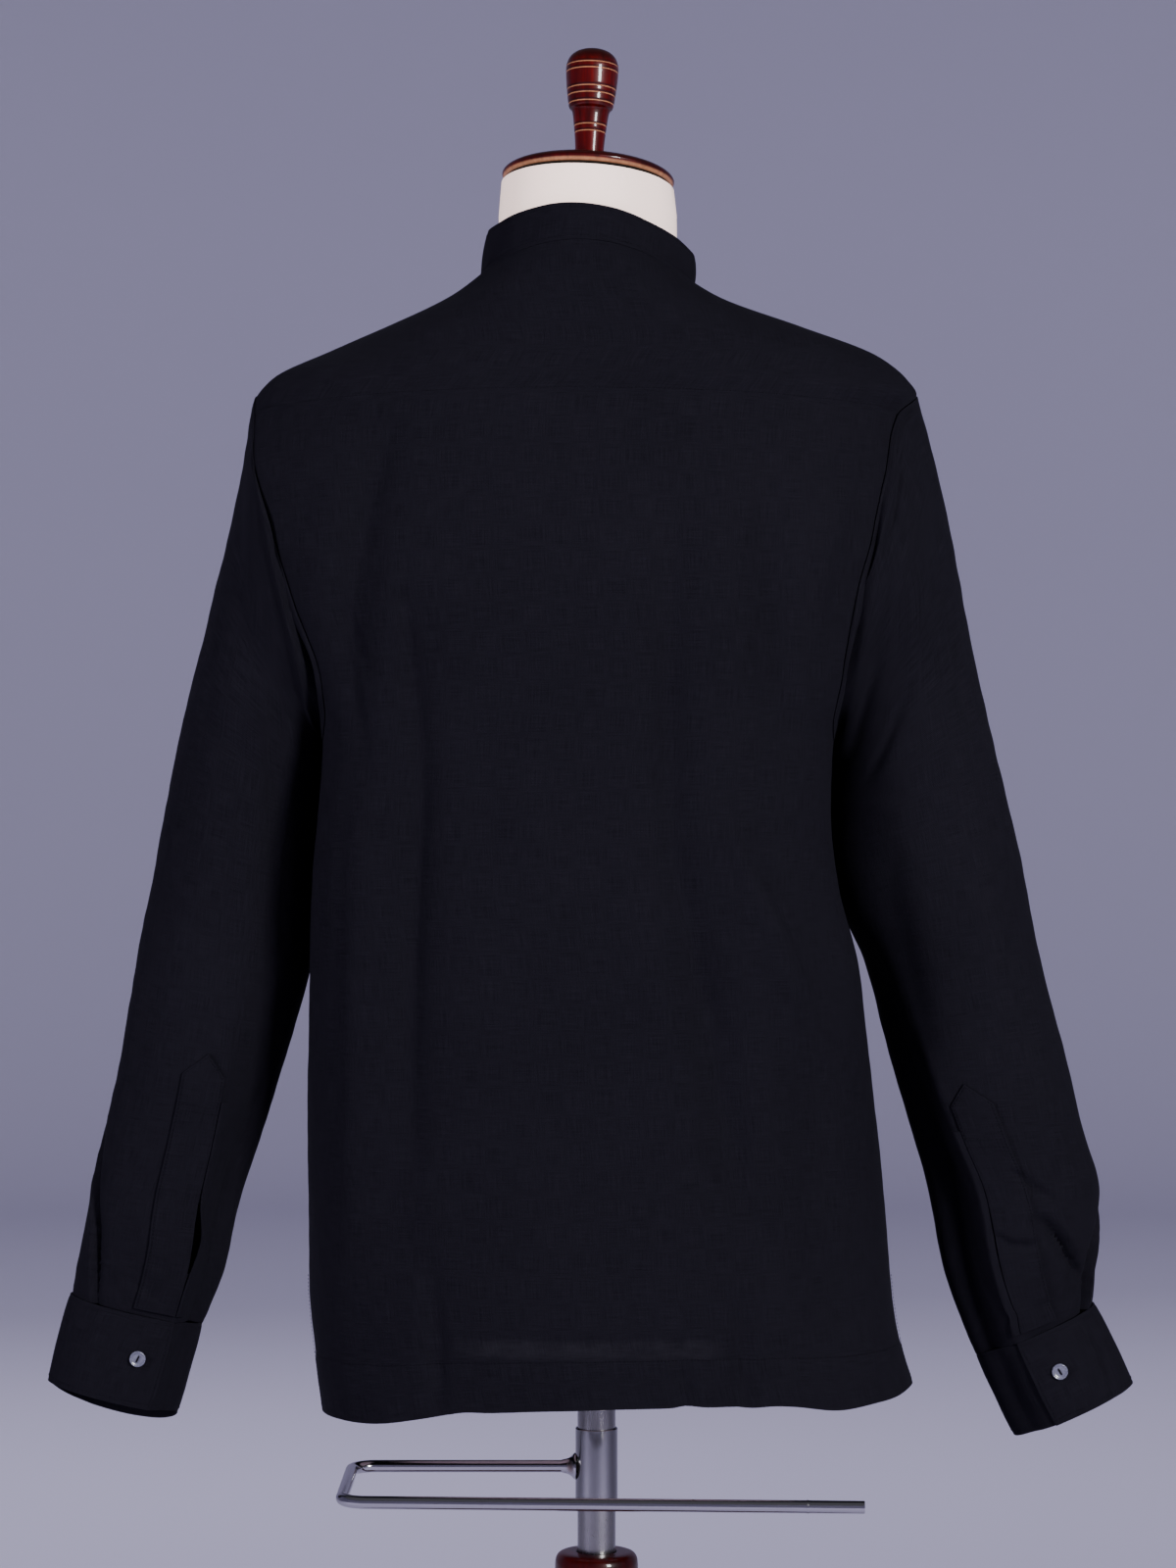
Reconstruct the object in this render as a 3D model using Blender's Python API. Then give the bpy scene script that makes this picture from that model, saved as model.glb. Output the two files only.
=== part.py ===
"""A short kurta on a limbless dress form with a trouser bar and a turned wooden stand.

Metres, +Z up. The floor is at z = 0 and the pole's axis is the Z axis. The garment's
front faces -Y, so the wearer's left is +X. Angles round the body start at the wearer's
left side (+X) and go through the back (+Y).
"""
import math
from collections import namedtuple

import bmesh
import bpy
import numpy as np
from mathutils import Matrix, Vector

# ---------------------------------------------------------------- driving dimensions
WALL = 0.0013              # cloth, with its seam allowances
DOUBLE_WALL = 0.0018       # collar and cuffs, two layers with interlining
GAP = 0.0004               # left between pieces that are sewn or touch
UNDERARM_LEVEL = 1.130
TIP_LEVEL = 1.3726         # the shoulder end of the armhole
BACK_REACH = math.radians(33)      # how far the armhole cuts into the back
FRONT_REACH = math.radians(35)
YOKE_TURN = math.radians(30)       # where the yoke seams meet the armhole, from its top
FRONT_SEAM_AT_NECK = math.radians(25)
SLIT_LEVEL = 0.755
SLIT_OPENING = math.radians(3.2)
COLLAR_OVERLAP = math.radians(10)
CUFF_OVERLAP = math.radians(34)
BUTTON_RADIUS = 0.0057
BUTTON_THICKNESS = 0.0026
POLE_RADIUS = 0.0134
POLE_FOOT = 0.135
SLEEVE_RADIUS = 0.0149     # the chrome collar that carries the trouser bar
ROD_RADIUS = 0.0041
ROD_LEVEL = 0.6197
ROD_CORNER = 0.016         # bend radius of the rod's middle line
BAR_SIDE = 0.1715          # x of the rod's bent side
BAR_NEAR = 0.131           # y of the bar that carries trousers
BAR_END = -0.1790          # x of its free end
BAR_SAG = 0.0035
COLLAR_FOOT = 0.592        # the chrome collar's lower and upper ends
COLLAR_HEAD = 0.647
SOCKET_RADIUS = 0.0190     # the form's metal socket on the pole
SOCKET_FOOT = 0.668
FLANGE_RADIUS = 0.030
KNOB_LEVEL = 0.6765
COLUMN_RADIUS = 0.0293
COLUMN_FOOT_RADIUS = 0.055
COLUMN_TOP = 0.560
BORE_FLOOR = 0.070
BASE_RADIUS = 0.205
BASE_HEIGHT = 0.036
FORM_UNDERSIDE = 0.735
NECK_CENTRE = (0.0062, 0.0)
ROUND_COLUMNS = 24         # points round a sleeve
STEP_ROUND = 2 * math.pi / ROUND_COLUMNS
YOKE_ROWS = 5
SEAM_STEP = 0.0009         # how far the sleeve stands proud of the body at its seam
FRONT_LINE = 0.0062        # x of the front placket's middle
FRONT_PLACKET_WIDTH = 0.032
FRONT_PLACKET_FOOT = 1.185
FRONT_BUTTON_LEVELS = (1.400, 1.325, 1.250)
CUFF_BUTTON_DROP = 0.46    # share of the cuff's height

# ---------------------------------------------------------------- the body's sections
# left and right are the widths of the whole oval; above the underarm the armhole cuts its
# ends off. seam is how far behind the pole's axis the oval is widest. tilt raises the left
# side, and the lifts raise the middle of the back and of the front.
Girth = namedtuple("Girth", "level left right seam back front tilt back_lift front_lift square")
GIRTHS = (
    Girth(0.6700, 0.1925, 0.2210, 0.000, 0.122, 0.130, -0.006, 0.010, 0.004, 2.30),
    Girth(0.7000, 0.1965, 0.2135, 0.000, 0.123, 0.131, -0.004, 0.007, 0.003, 2.30),
    Girth(0.7500, 0.2013, 0.2070, 0.000, 0.124, 0.133, 0.000, 0.000, 0.000, 2.32),
    Girth(0.8000, 0.2020, 0.2035, 0.000, 0.124, 0.134, 0.000, 0.000, 0.000, 2.34),
    Girth(0.8810, 0.2027, 0.1940, 0.005, 0.124, 0.134, 0.000, 0.000, 0.000, 2.38),
    Girth(0.9300, 0.2010, 0.1885, 0.015, 0.124, 0.134, 0.000, 0.000, 0.000, 2.44),
    Girth(0.9750, 0.1995, 0.1820, 0.025, 0.1235, 0.134, 0.000, 0.000, 0.000, 2.50),
    Girth(1.0300, 0.1970, 0.1680, 0.030, 0.123, 0.133, 0.000, 0.000, 0.000, 2.58),
    Girth(1.0800, 0.1935, 0.1630, 0.028, 0.1225, 0.132, 0.000, 0.000, 0.000, 2.66),
    Girth(1.1300, 0.1905, 0.1650, 0.018, 0.122, 0.132, 0.000, 0.000, 0.000, 2.70),
    Girth(1.1740, 0.2056, 0.1836, 0.008, 0.1205, 0.131, 0.000, 0.001, -0.008, 2.60),
    Girth(1.2294, 0.2388, 0.2088, 0.000, 0.118, 0.129, 0.000, 0.004, -0.022, 2.38),
    Girth(1.2694, 0.2551, 0.2221, 0.000, 0.1135, 0.126, 0.000, 0.006, -0.035, 2.30),
    Girth(1.3100, 0.2612, 0.2257, 0.000, 0.107, 0.121, 0.000, 0.008, -0.046, 2.25),
    Girth(1.3563, 0.2468, 0.2178, 0.000, 0.098, 0.116, 0.000, 0.010, -0.056, 2.20),
    Girth(1.3726, 0.2390, 0.2255, 0.000, 0.096, 0.113, 0.000, 0.005, -0.058, 2.18),
    Girth(1.3850, 0.2260, 0.2185, 0.000, 0.094, 0.110, 0.001, 0.001, -0.058, 2.15),
    Girth(1.4000, 0.1930, 0.2000, 0.000, 0.0915, 0.105, 0.001, -0.001, -0.056, 2.12),
    Girth(1.4200, 0.1465, 0.1470, 0.000, 0.086, 0.096, 0.001, 0.003, -0.051, 2.10),
    Girth(1.4380, 0.1055, 0.0950, 0.000, 0.079, 0.084, 0.002, 0.011, -0.046, 2.05),
    Girth(1.4526, 0.0812, 0.0685, 0.000, 0.072, 0.072, 0.004, 0.0217, -0.040, 2.00),
)
HEM_LEVEL = GIRTHS[0].level
NECK_LEVEL = GIRTHS[-1].level
COLLAR_TOP = Girth(1.4790, 0.0755, 0.0692, 0.000, 0.0690, 0.069, 0.009, 0.019, -0.036, 2.00)

# The largest folds: side 1 is the back and -1 the front; depth below 0 is a trough.
Fold = namedtuple("Fold", "side x_top z_top x_low z_low width depth")
FOLDS = (
    Fold(1, 0.150, 1.350, 0.178, 1.130, 0.018, -0.0050),     # left shoulder blade
    Fold(1, 0.128, 1.230, 0.138, 0.760, 0.020, -0.0060),     # down the left back
    Fold(1, 0.165, 1.120, 0.172, 0.740, 0.016, 0.0035),
    Fold(1, -0.050, 1.300, -0.056, 1.000, 0.022, -0.0045),   # down the right back
    Fold(1, -0.054, 1.060, -0.106, 0.780, 0.021, -0.0065),
    Fold(1, -0.084, 1.090, -0.150, 0.900, 0.017, 0.0050),
    Fold(1, -0.112, 1.340, -0.128, 1.080, 0.020, -0.0045),   # right shoulder blade
    Fold(1, -0.135, 0.960, -0.168, 0.700, 0.018, -0.0045),
    Fold(-1, 0.120, 1.260, 0.150, 0.780, 0.022, -0.0060),
    Fold(-1, 0.075, 1.120, 0.095, 0.720, 0.020, 0.0045),
    Fold(-1, -0.105, 1.280, -0.118, 0.820, 0.022, -0.0060),
    Fold(-1, -0.060, 1.020, -0.080, 0.700, 0.018, -0.0045),
    Fold(-1, -0.140, 1.180, -0.165, 0.860, 0.018, 0.0040),
)

# ---------------------------------------------------------------- the sleeves' sections
# Outer and inner edge of the sleeve in the photograph's plane, from the armhole down.
Ring = namedtuple("Ring", "outer_x outer_z inner_x inner_z back front middle")
LEFT_RINGS = (
    Ring(0.2470, 1.3420, 0.1940, 1.1335, 0.0700, 0.0690, 0.008),
    Ring(0.2520, 1.3070, 0.1955, 1.1330, 0.0670, 0.0680, 0.000),
    Ring(0.2605, 1.2700, 0.1955, 1.1280, 0.0645, 0.0665, -0.008),
    Ring(0.2696, 1.2380, 0.1950, 1.1200, 0.0630, 0.0655, -0.014),
    Ring(0.2806, 1.1938, 0.1935, 1.1080, 0.0620, 0.0645, -0.018),
    Ring(0.2937, 1.1435, 0.1930, 1.0850, 0.0610, 0.0630, -0.021),
    Ring(0.3048, 1.0883, 0.1945, 1.0500, 0.0590, 0.0610, -0.023),
    Ring(0.3135, 1.0400, 0.1975, 1.0080, 0.0565, 0.0590, -0.022),
    Ring(0.3220, 0.9958, 0.2030, 0.9680, 0.0535, 0.0560, -0.019),
    Ring(0.3310, 0.9413, 0.2165, 0.9200, 0.0500, 0.0530, -0.016),
    Ring(0.3390, 0.8930, 0.2290, 0.8770, 0.0465, 0.0490, -0.013),
    Ring(0.3470, 0.8571, 0.2395, 0.8440, 0.0440, 0.0465, -0.012),
    Ring(0.3560, 0.8160, 0.2530, 0.8030, 0.0405, 0.0430, -0.012),
    Ring(0.3635, 0.7780, 0.2615, 0.7620, 0.0360, 0.0385, -0.012),
    Ring(0.3688, 0.7480, 0.2755, 0.7262, 0.0300, 0.0315, -0.012),
)
LEFT_CUFF_END = Ring(0.3869, 0.6791, 0.2958, 0.6570, 0.0315, 0.0330, -0.013)
RIGHT_RINGS = (
    Ring(0.2335, 1.3420, 0.1685, 1.1335, 0.0690, 0.0690, 0.008),
    Ring(0.2420, 1.3090, 0.1700, 1.1330, 0.0665, 0.0680, 0.000),
    Ring(0.2500, 1.2740, 0.1700, 1.1280, 0.0645, 0.0665, -0.008),
    Ring(0.2580, 1.2350, 0.1690, 1.1200, 0.0630, 0.0655, -0.014),
    Ring(0.2668, 1.1932, 0.1665, 1.1080, 0.0620, 0.0645, -0.018),
    Ring(0.2790, 1.1400, 0.1640, 1.0850, 0.0610, 0.0630, -0.021),
    Ring(0.2900, 1.0950, 0.1635, 1.0550, 0.0590, 0.0610, -0.023),
    Ring(0.3000, 1.0500, 0.1710, 1.0200, 0.0570, 0.0595, -0.022),
    Ring(0.3107, 0.9937, 0.1900, 0.9740, 0.0540, 0.0565, -0.019),
    Ring(0.3231, 0.9399, 0.2025, 0.9250, 0.0505, 0.0535, -0.016),
    Ring(0.3328, 0.9047, 0.2105, 0.8950, 0.0480, 0.0505, -0.013),
    Ring(0.3440, 0.8560, 0.2225, 0.8540, 0.0450, 0.0470, -0.012),
    Ring(0.3555, 0.8100, 0.2345, 0.8130, 0.0410, 0.0435, -0.012),
    Ring(0.3530, 0.7680, 0.2455, 0.7580, 0.0360, 0.0385, -0.012),
    Ring(0.3505, 0.7370, 0.2640, 0.7030, 0.0300, 0.0315, -0.012),
)
RIGHT_CUFF_END = Ring(0.3783, 0.6770, 0.2948, 0.6391, 0.0315, 0.0330, -0.013)

# Plackets of the sleeves: run is 0 at the armhole and 1 at the cuff seam.
PLACKET_TIP_RUN = {"left": 0.690, "right": 0.745}
PLACKET_END = 0.992                # stops just short of the cuff seam
PLACKET_SHOULDER = 0.022           # run from the tip of the point to its shoulders
PLACKET_MIDDLE_TOP = {"left": math.radians(97), "right": math.radians(101.5)}
PLACKET_MIDDLE_LOW = {"left": math.radians(107), "right": math.radians(88)}
PLACKET_HALF_WIDTH = 0.0142
PLACKET_LIFT = 0.0008              # clears the flat facets of the sleeve
UNDER_PLACKET_WIDTH = 0.0065
CUFF_EDGE = {"left": math.radians(125), "right": math.radians(109)}
CUFF_BUTTON = {"left": math.radians(103), "right": math.radians(88)}

# ---------------------------------------------------------------- the form's sections
# drop is how much lower the front of a section lies than its back.
FormRing = namedtuple("FormRing", "z half_width back front drop")
FORM_RINGS = (
    FormRing(0.735, 0.1360, 0.088, 0.088, 0.000),
    FormRing(0.741, 0.1420, 0.094, 0.094, 0.000),
    FormRing(0.800, 0.1520, 0.104, 0.104, 0.000),
    FormRing(0.880, 0.1480, 0.102, 0.104, 0.000),
    FormRing(0.980, 0.1380, 0.096, 0.104, 0.000),
    FormRing(1.080, 0.1430, 0.102, 0.113, 0.000),
    FormRing(1.160, 0.1500, 0.108, 0.116, 0.000),
    FormRing(1.230, 0.1560, 0.109, 0.114, 0.004),
    FormRing(1.290, 0.1640, 0.101, 0.107, 0.010),
    FormRing(1.335, 0.1780, 0.092, 0.102, 0.022),
    FormRing(1.362, 0.1860, 0.086, 0.098, 0.030),
    FormRing(1.382, 0.1780, 0.082, 0.093, 0.036),
    FormRing(1.400, 0.1600, 0.079, 0.087, 0.040),
    FormRing(1.418, 0.1220, 0.075, 0.077, 0.040),
    FormRing(1.434, 0.0840, 0.070, 0.067, 0.036),
    FormRing(1.450, 0.0655, 0.064, 0.062, 0.024),
    FormRing(1.472, 0.0630, 0.0625, 0.061, 0.008),
    FormRing(1.500, 0.0626, 0.0620, 0.061, 0.000),
)
NECK_TOP = 1.5200                  # middle of the neck's upper end
NECK_TOP_RADIUS = 0.0608
NECK_NOD = math.radians(7.0)       # the neck's end leans forwards
NECK_ROLL = math.radians(3.0)      # and towards the wearer's right
# Profiles turned on the lathe are rows of radius and height.
CAP_PROFILE = ((0.0, 0.0), (0.0565, 0.0), (0.0600, 0.0022), (0.0607, 0.0036), (0.0600, 0.0052),
               (0.0560, 0.0076), (0.0480, 0.0098), (0.0350, 0.0118), (0.0200, 0.0127),
               (0.0, 0.0130))
FINIAL_PROFILE = ((0.0, 0.0), (0.0096, 0.0), (0.0103, 0.0150), (0.0116, 0.0270),
                  (0.0131, 0.0385), (0.0156, 0.0395), (0.0168, 0.0470), (0.0180, 0.0570),
                  (0.0187, 0.0670), (0.0184, 0.0710), (0.0166, 0.0760), (0.0125, 0.0798),
                  (0.0065, 0.0820), (0.0, 0.0826))
KNOB_PROFILE = ((0.0, 0.0), (0.0035, 0.0), (0.0035, 0.0130), (0.0062, 0.0150), (0.0095, 0.0195),
                (0.0105, 0.0245), (0.0092, 0.0300), (0.0050, 0.0338), (0.0, 0.0345))
FINIAL_NOD = math.radians(4.0)
FINIAL_ROLL = math.radians(2.0)

# ---------------------------------------------------------------- colours from the photo
BLACK_CLOTH = (0.006, 0.006, 0.010, 1.0)
BUTTON_GREY = (0.085, 0.085, 0.125, 1.0)
CREAM_CLOTH = (0.86, 0.76, 0.70, 1.0)
MAHOGANY = (0.090, 0.010, 0.008, 1.0)
STEEL = (0.55, 0.54, 0.53, 1.0)
CHROME = (0.75, 0.75, 0.76, 1.0)


# ---------------------------------------------------------------- small tools
def material(name, colour, roughness, metallic=0.0):
    """A Principled material of one plain colour."""
    made = bpy.data.materials.new(name)
    made.use_nodes = True
    shader = made.node_tree.nodes["Principled BSDF"]
    shader.inputs["Base Color"].default_value = colour
    shader.inputs["Roughness"].default_value = roughness
    shader.inputs["Metallic"].default_value = metallic
    return made


def through(places, values, wanted):
    """Read a smooth curve through a table's values, with no overshoot between rows."""
    places = np.asarray(places, dtype=float)
    values = np.asarray(values, dtype=float)
    steps = np.diff(places)
    slopes = np.diff(values) / steps
    product = slopes[:-1] * slopes[1:]
    total = slopes[:-1] + slopes[1:]
    safe_total = np.where(product > 0, total, 1.0)
    tangents = np.empty_like(values)
    tangents[0], tangents[-1] = slopes[0], slopes[-1]
    tangents[1:-1] = np.where(product > 0, 2 * product / safe_total, 0.0)
    wanted = np.clip(wanted, places[0], places[-1])
    row = np.clip(np.searchsorted(places, wanted, side="right") - 1, 0, len(steps) - 1)
    part = (wanted - places[row]) / steps[row]
    rise = values[row + 1] - values[row]
    start, end = tangents[row] * steps[row], tangents[row + 1] * steps[row]
    bend = part * (part - 1)
    return values[row] + rise * part * part * (3 - 2 * part) + bend * ((part - 1) * start + part * end)


def smooth_step(value):
    """Ease from 0 to 1 over the range 0 to 1."""
    value = np.clip(value, 0.0, 1.0)
    return value * value * (3 - 2 * value)


def rounded(trig, square):
    """A sine or cosine bent towards a squarer oval."""
    return np.sign(trig) * np.abs(trig) ** (2.0 / square)


def link_mesh(name, verts, faces, finish, smooth_angle=50):
    """Make one closed, outward-facing object from points and faces."""
    mesh = bpy.data.meshes.new(name)
    mesh.from_pydata([tuple(map(float, v)) for v in verts], [], faces)
    bm = bmesh.new()
    bm.from_mesh(mesh)
    bmesh.ops.recalc_face_normals(bm, faces=bm.faces)
    bmesh.ops.triangulate(bm, faces=bm.faces, quad_method="FIXED")
    bm.to_mesh(mesh)
    bm.free()
    mesh.shade_smooth()
    mesh.set_sharp_from_angle(angle=math.radians(smooth_angle))
    mesh.materials.append(finish)
    made = bpy.data.objects.new(name, mesh)
    bpy.context.scene.collection.objects.link(made)
    return made


def cloth_wall(name, outer, inner, finish, wraps=False):
    """Close the space between an outer and an inner grid of points."""
    rows, columns = outer.shape[:2]
    verts = np.concatenate((outer.reshape(-1, 3), inner.reshape(-1, 3)))
    inside = rows * columns

    def at(row, column):
        return row * columns + column % columns

    faces = []
    spans = columns if wraps else columns - 1
    for row in range(rows - 1):
        for column in range(spans):
            quad = (at(row, column), at(row, column + 1), at(row + 1, column + 1), at(row + 1, column))
            faces.append(quad)
            faces.append(tuple(inside + corner for corner in reversed(quad)))
    for row, turn in ((0, 1), (rows - 1, -1)):
        for column in range(spans):
            a, b = at(row, column), at(row, column + 1)
            faces.append((a, inside + a, inside + b, b)[::turn])
    if not wraps:
        for column, turn in ((0, -1), (columns - 1, 1)):
            for row in range(rows - 1):
                a, b = at(row, column), at(row + 1, column)
                faces.append((a, inside + a, inside + b, b)[::turn])
    return link_mesh(name, verts, faces, finish)


def unit(vectors):
    """Scale vectors to length 1."""
    return vectors / np.linalg.norm(vectors, axis=-1, keepdims=True)


def trim(grid, amount, first_row=True, last_row=True, sides=True):
    """Draw a panel's edges in by a small amount, for the gap at its seams."""
    cut = grid.copy()
    if first_row:
        cut[0] += unit(grid[1] - grid[0]) * amount
    if last_row:
        cut[-1] += unit(grid[-2] - grid[-1]) * amount
    if sides:
        cut[:, 0] += unit(grid[:, 1] - grid[:, 0]) * amount
        cut[:, -1] += unit(grid[:, -2] - grid[:, -1]) * amount
    return cut


def turned(name, profile, finish, segments=32, place=None):
    """A solid turned on the lathe; the profile runs from the axis below to the axis above."""
    verts, rings = [], []
    for radius, height in profile:
        if radius == 0.0:
            rings.append([len(verts)])
            verts.append((0.0, 0.0, height))
            continue
        rings.append(list(range(len(verts), len(verts) + segments)))
        for step in range(segments):
            angle = 2 * math.pi * step / segments
            verts.append((radius * math.cos(angle), radius * math.sin(angle), height))
    faces = []
    for low, high in zip(rings, rings[1:]):
        for step in range(segments):
            after = (step + 1) % segments
            if len(low) == 1 and len(high) == 1:
                continue
            if len(low) == 1:
                faces.append((low[0], high[after], high[step]))
            elif len(high) == 1:
                faces.append((low[step], low[after], high[0]))
            else:
                faces.append((low[step], low[after], high[after], high[step]))
    made = link_mesh(name, verts, faces, finish, smooth_angle=35)
    if place is not None:
        made.matrix_world = place
    return made


def tube_of_revolution(name, profile, finish, segments=32):
    """A ring-shaped solid: the profile is a closed outline clear of the axis."""
    count = len(profile)
    verts, faces = [], []
    for step in range(segments):
        angle = 2 * math.pi * step / segments
        for radius, height in profile:
            verts.append((radius * math.cos(angle), radius * math.sin(angle), height))
    for step in range(segments):
        base, ahead = step * count, (step + 1) % segments * count
        for corner in range(count):
            after = (corner + 1) % count
            faces.append((base + corner, ahead + corner, ahead + after, base + after))
    return link_mesh(name, verts, faces, finish, smooth_angle=35)


def bent_rod(name, points, radii, finish, sides=12):
    """A round rod along points that lie nearly level."""
    points = np.array(points)
    ahead = unit(np.gradient(points, axis=0))
    across = unit(np.cross(ahead, (0.0, 0.0, 1.0)))
    over = np.cross(across, ahead)
    verts, faces = [], []
    for centre, side, up, radius in zip(points, across, over, radii):
        for step in range(sides):
            angle = 2 * math.pi * step / sides
            verts.append(centre + radius * (math.cos(angle) * side + math.sin(angle) * up))
    for row in range(len(points) - 1):
        for step in range(sides):
            after = (step + 1) % sides
            low, high = row * sides, (row + 1) * sides
            faces.append((low + step, low + after, high + after, high + step))
    faces.append(tuple(range(sides)))
    faces.append(tuple((len(points) - 1) * sides + step for step in range(sides)))
    return link_mesh(name, verts, faces, finish, smooth_angle=35)


# ---------------------------------------------------------------- the body's cloth
ARM_MIDDLE = (UNDERARM_LEVEL + TIP_LEVEL) / 2
ARM_HALF = (TIP_LEVEL - UNDERARM_LEVEL) / 2
YOKE_LEVEL = ARM_MIDDLE + ARM_HALF * math.cos(YOKE_TURN)


def arm_angle(level, reach):
    """Angle from the side to the armhole seam: an oval over the level."""
    part = (np.asarray(level, dtype=float) - ARM_MIDDLE) / ARM_HALF
    return reach * np.sqrt(np.clip(1 - part * part, 0.0, 1.0))


def fold_lift(x, level, sine):
    """How far the folds move the cloth out at a place on the body."""
    lift = np.zeros_like(x)
    for fold in FOLDS:
        along = (fold.z_top - level) / (fold.z_top - fold.z_low)
        middle = fold.x_top + along * (fold.x_low - fold.x_top)
        reach = np.sin(math.pi * np.clip(along, 0.0, 1.0)) ** 0.8
        facing = np.clip(fold.side * sine * 1.6, 0.0, 1.0)
        lift += fold.depth * reach * facing * np.exp(-((x - middle) / fold.width) ** 2)
    return lift


def ring_point(girth, angle):
    """A point on one oval section, given as a row of named sizes."""
    half = (girth.left + girth.right) / 2
    centre = (girth.left - girth.right) / 2
    cosine, sine = np.cos(angle), np.sin(angle)
    x = centre + half * rounded(cosine, girth.square)
    depth = np.where(sine > 0, girth.back - girth.seam, girth.front + girth.seam)
    y = girth.seam + depth * rounded(sine, girth.square)
    lift = np.where(sine > 0, girth.back_lift, girth.front_lift)
    z = girth.level + girth.tilt * cosine + lift * sine * sine
    return x, y, z, sine


def body_point(angle, level):
    """The outer face of the body's cloth at an angle and a level."""
    angle, level = np.broadcast_arrays(np.asarray(angle, float), np.asarray(level, float))
    levels = [girth.level for girth in GIRTHS]
    columns = {name: through(levels, [getattr(girth, name) for girth in GIRTHS], level)
               for name in Girth._fields if name != "level"}
    girth = Girth(level=level, **columns)
    x, y, z, sine = ring_point(girth, angle)
    out = fold_lift(x, level, sine)
    return np.stack((x + out * np.cos(angle), y + out * sine, z), axis=-1)


def body_normal(angle, level):
    """The cloth's outward direction, from points a little to each side."""
    turn, rise = math.radians(0.6), 0.002
    angle, level = np.broadcast_arrays(np.asarray(angle, float), np.asarray(level, float))
    upper = np.minimum(level + rise, NECK_LEVEL)
    lower = np.maximum(level - rise, HEM_LEVEL)
    round_way = body_point(angle + turn, level) - body_point(angle - turn, level)
    up_way = body_point(angle, upper) - body_point(angle, lower)
    return unit(np.cross(round_way, up_way))


def front_angle(x, level):
    """Angle at which the front of the body's section has a wanted x."""
    levels = [girth.level for girth in GIRTHS]
    left, right, square = (through(levels, [getattr(girth, name) for girth in GIRTHS], level)
                           for name in ("left", "right", "square"))
    share = (x - (left - right) / 2) / ((left + right) / 2)
    return -np.arccos(np.sign(share) * np.abs(share) ** (square / 2))


def body_panel(name, angle, level, finish, lift=0.0):
    """A cloth wall over a grid of angles and levels."""
    face = body_point(angle, level)
    normal = body_normal(angle, level)
    outer = trim(face + normal * lift, GAP / 2)
    inner = trim(face + normal * (lift - WALL), GAP / 2)
    return cloth_wall(name, outer, inner, finish)


def panel_levels(top_rows):
    """Levels of a panel's rows: even up to the underarm, then matched to the sleeve."""
    low = np.linspace(HEM_LEVEL, UNDERARM_LEVEL, 12)
    low[np.argmin(np.abs(low - SLIT_LEVEL))] = SLIT_LEVEL
    turns = np.arange(1, round((math.pi - YOKE_TURN) / STEP_ROUND) + 1) * STEP_ROUND
    arm = ARM_MIDDLE - ARM_HALF * np.cos(turns)
    upper = np.linspace(YOKE_LEVEL, NECK_LEVEL, top_rows + 1)[1:] if top_rows else []
    return np.concatenate((low, arm, upper))


def edge_angles(levels, reach, yoke_edge):
    """Angle from the side line to a panel's edge on each row."""
    slit = SLIT_OPENING * smooth_step((SLIT_LEVEL - levels) / (SLIT_LEVEL - HEM_LEVEL))
    climb = np.clip((levels - YOKE_LEVEL) / (NECK_LEVEL - YOKE_LEVEL), 0.0, 1.0)
    at_yoke = arm_angle(YOKE_LEVEL, reach)
    above = at_yoke + climb * (yoke_edge - at_yoke)
    return np.where(levels > YOKE_LEVEL + 1e-6, above, arm_angle(levels, reach) + slit)


def panel_angles(edges, columns):
    """Even angles from side to side, drawn in near the edges where those are cut away."""
    share = np.linspace(0.0, 1.0, columns)[None, :]
    return math.pi * share + edges[:, None] * ((1 - share) ** 4 - share ** 4)


def back_panel(finish):
    levels = panel_levels(0)
    angle = panel_angles(edge_angles(levels, BACK_REACH, 0.0), 29)
    return body_panel("kurta_back", angle, levels[:, None], finish)


def front_panel(finish):
    levels = panel_levels(YOKE_ROWS)
    angle = -panel_angles(edge_angles(levels, FRONT_REACH, FRONT_SEAM_AT_NECK), 25)
    return body_panel("kurta_front", angle[:, ::-1], levels[:, None], finish)


def yoke(finish):
    """The yoke wraps over both shoulders; its ends are the front yoke seams."""
    turns = np.arange(-YOKE_TURN, YOKE_TURN + 1e-6, STEP_ROUND)
    reach = np.where(turns > 0, BACK_REACH, FRONT_REACH)
    left_angle = reach * np.sin(turns)
    left_level = ARM_MIDDLE + ARM_HALF * np.cos(turns)
    seam_start = left_angle[-1]
    back_angle = np.linspace(seam_start, math.pi - seam_start, 21)[1:-1]
    outer_angle = np.concatenate((left_angle, back_angle, math.pi - left_angle[::-1]))
    outer_level = np.concatenate((left_level, np.full(len(back_angle), YOKE_LEVEL), left_level[::-1]))
    spread = FRONT_SEAM_AT_NECK / arm_angle(YOKE_LEVEL, FRONT_REACH)
    inner_angle = np.where(outer_angle < 0, outer_angle * spread, outer_angle)
    past = outer_angle > math.pi
    inner_angle[past] = math.pi + (outer_angle[past] - math.pi) * spread
    climb = np.linspace(0.0, 1.0, YOKE_ROWS + 1)[:, None]
    angle = outer_angle + climb * (inner_angle - outer_angle)
    level = outer_level + climb * (NECK_LEVEL - outer_level)
    return body_panel("kurta_yoke", angle, level, finish)


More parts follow.
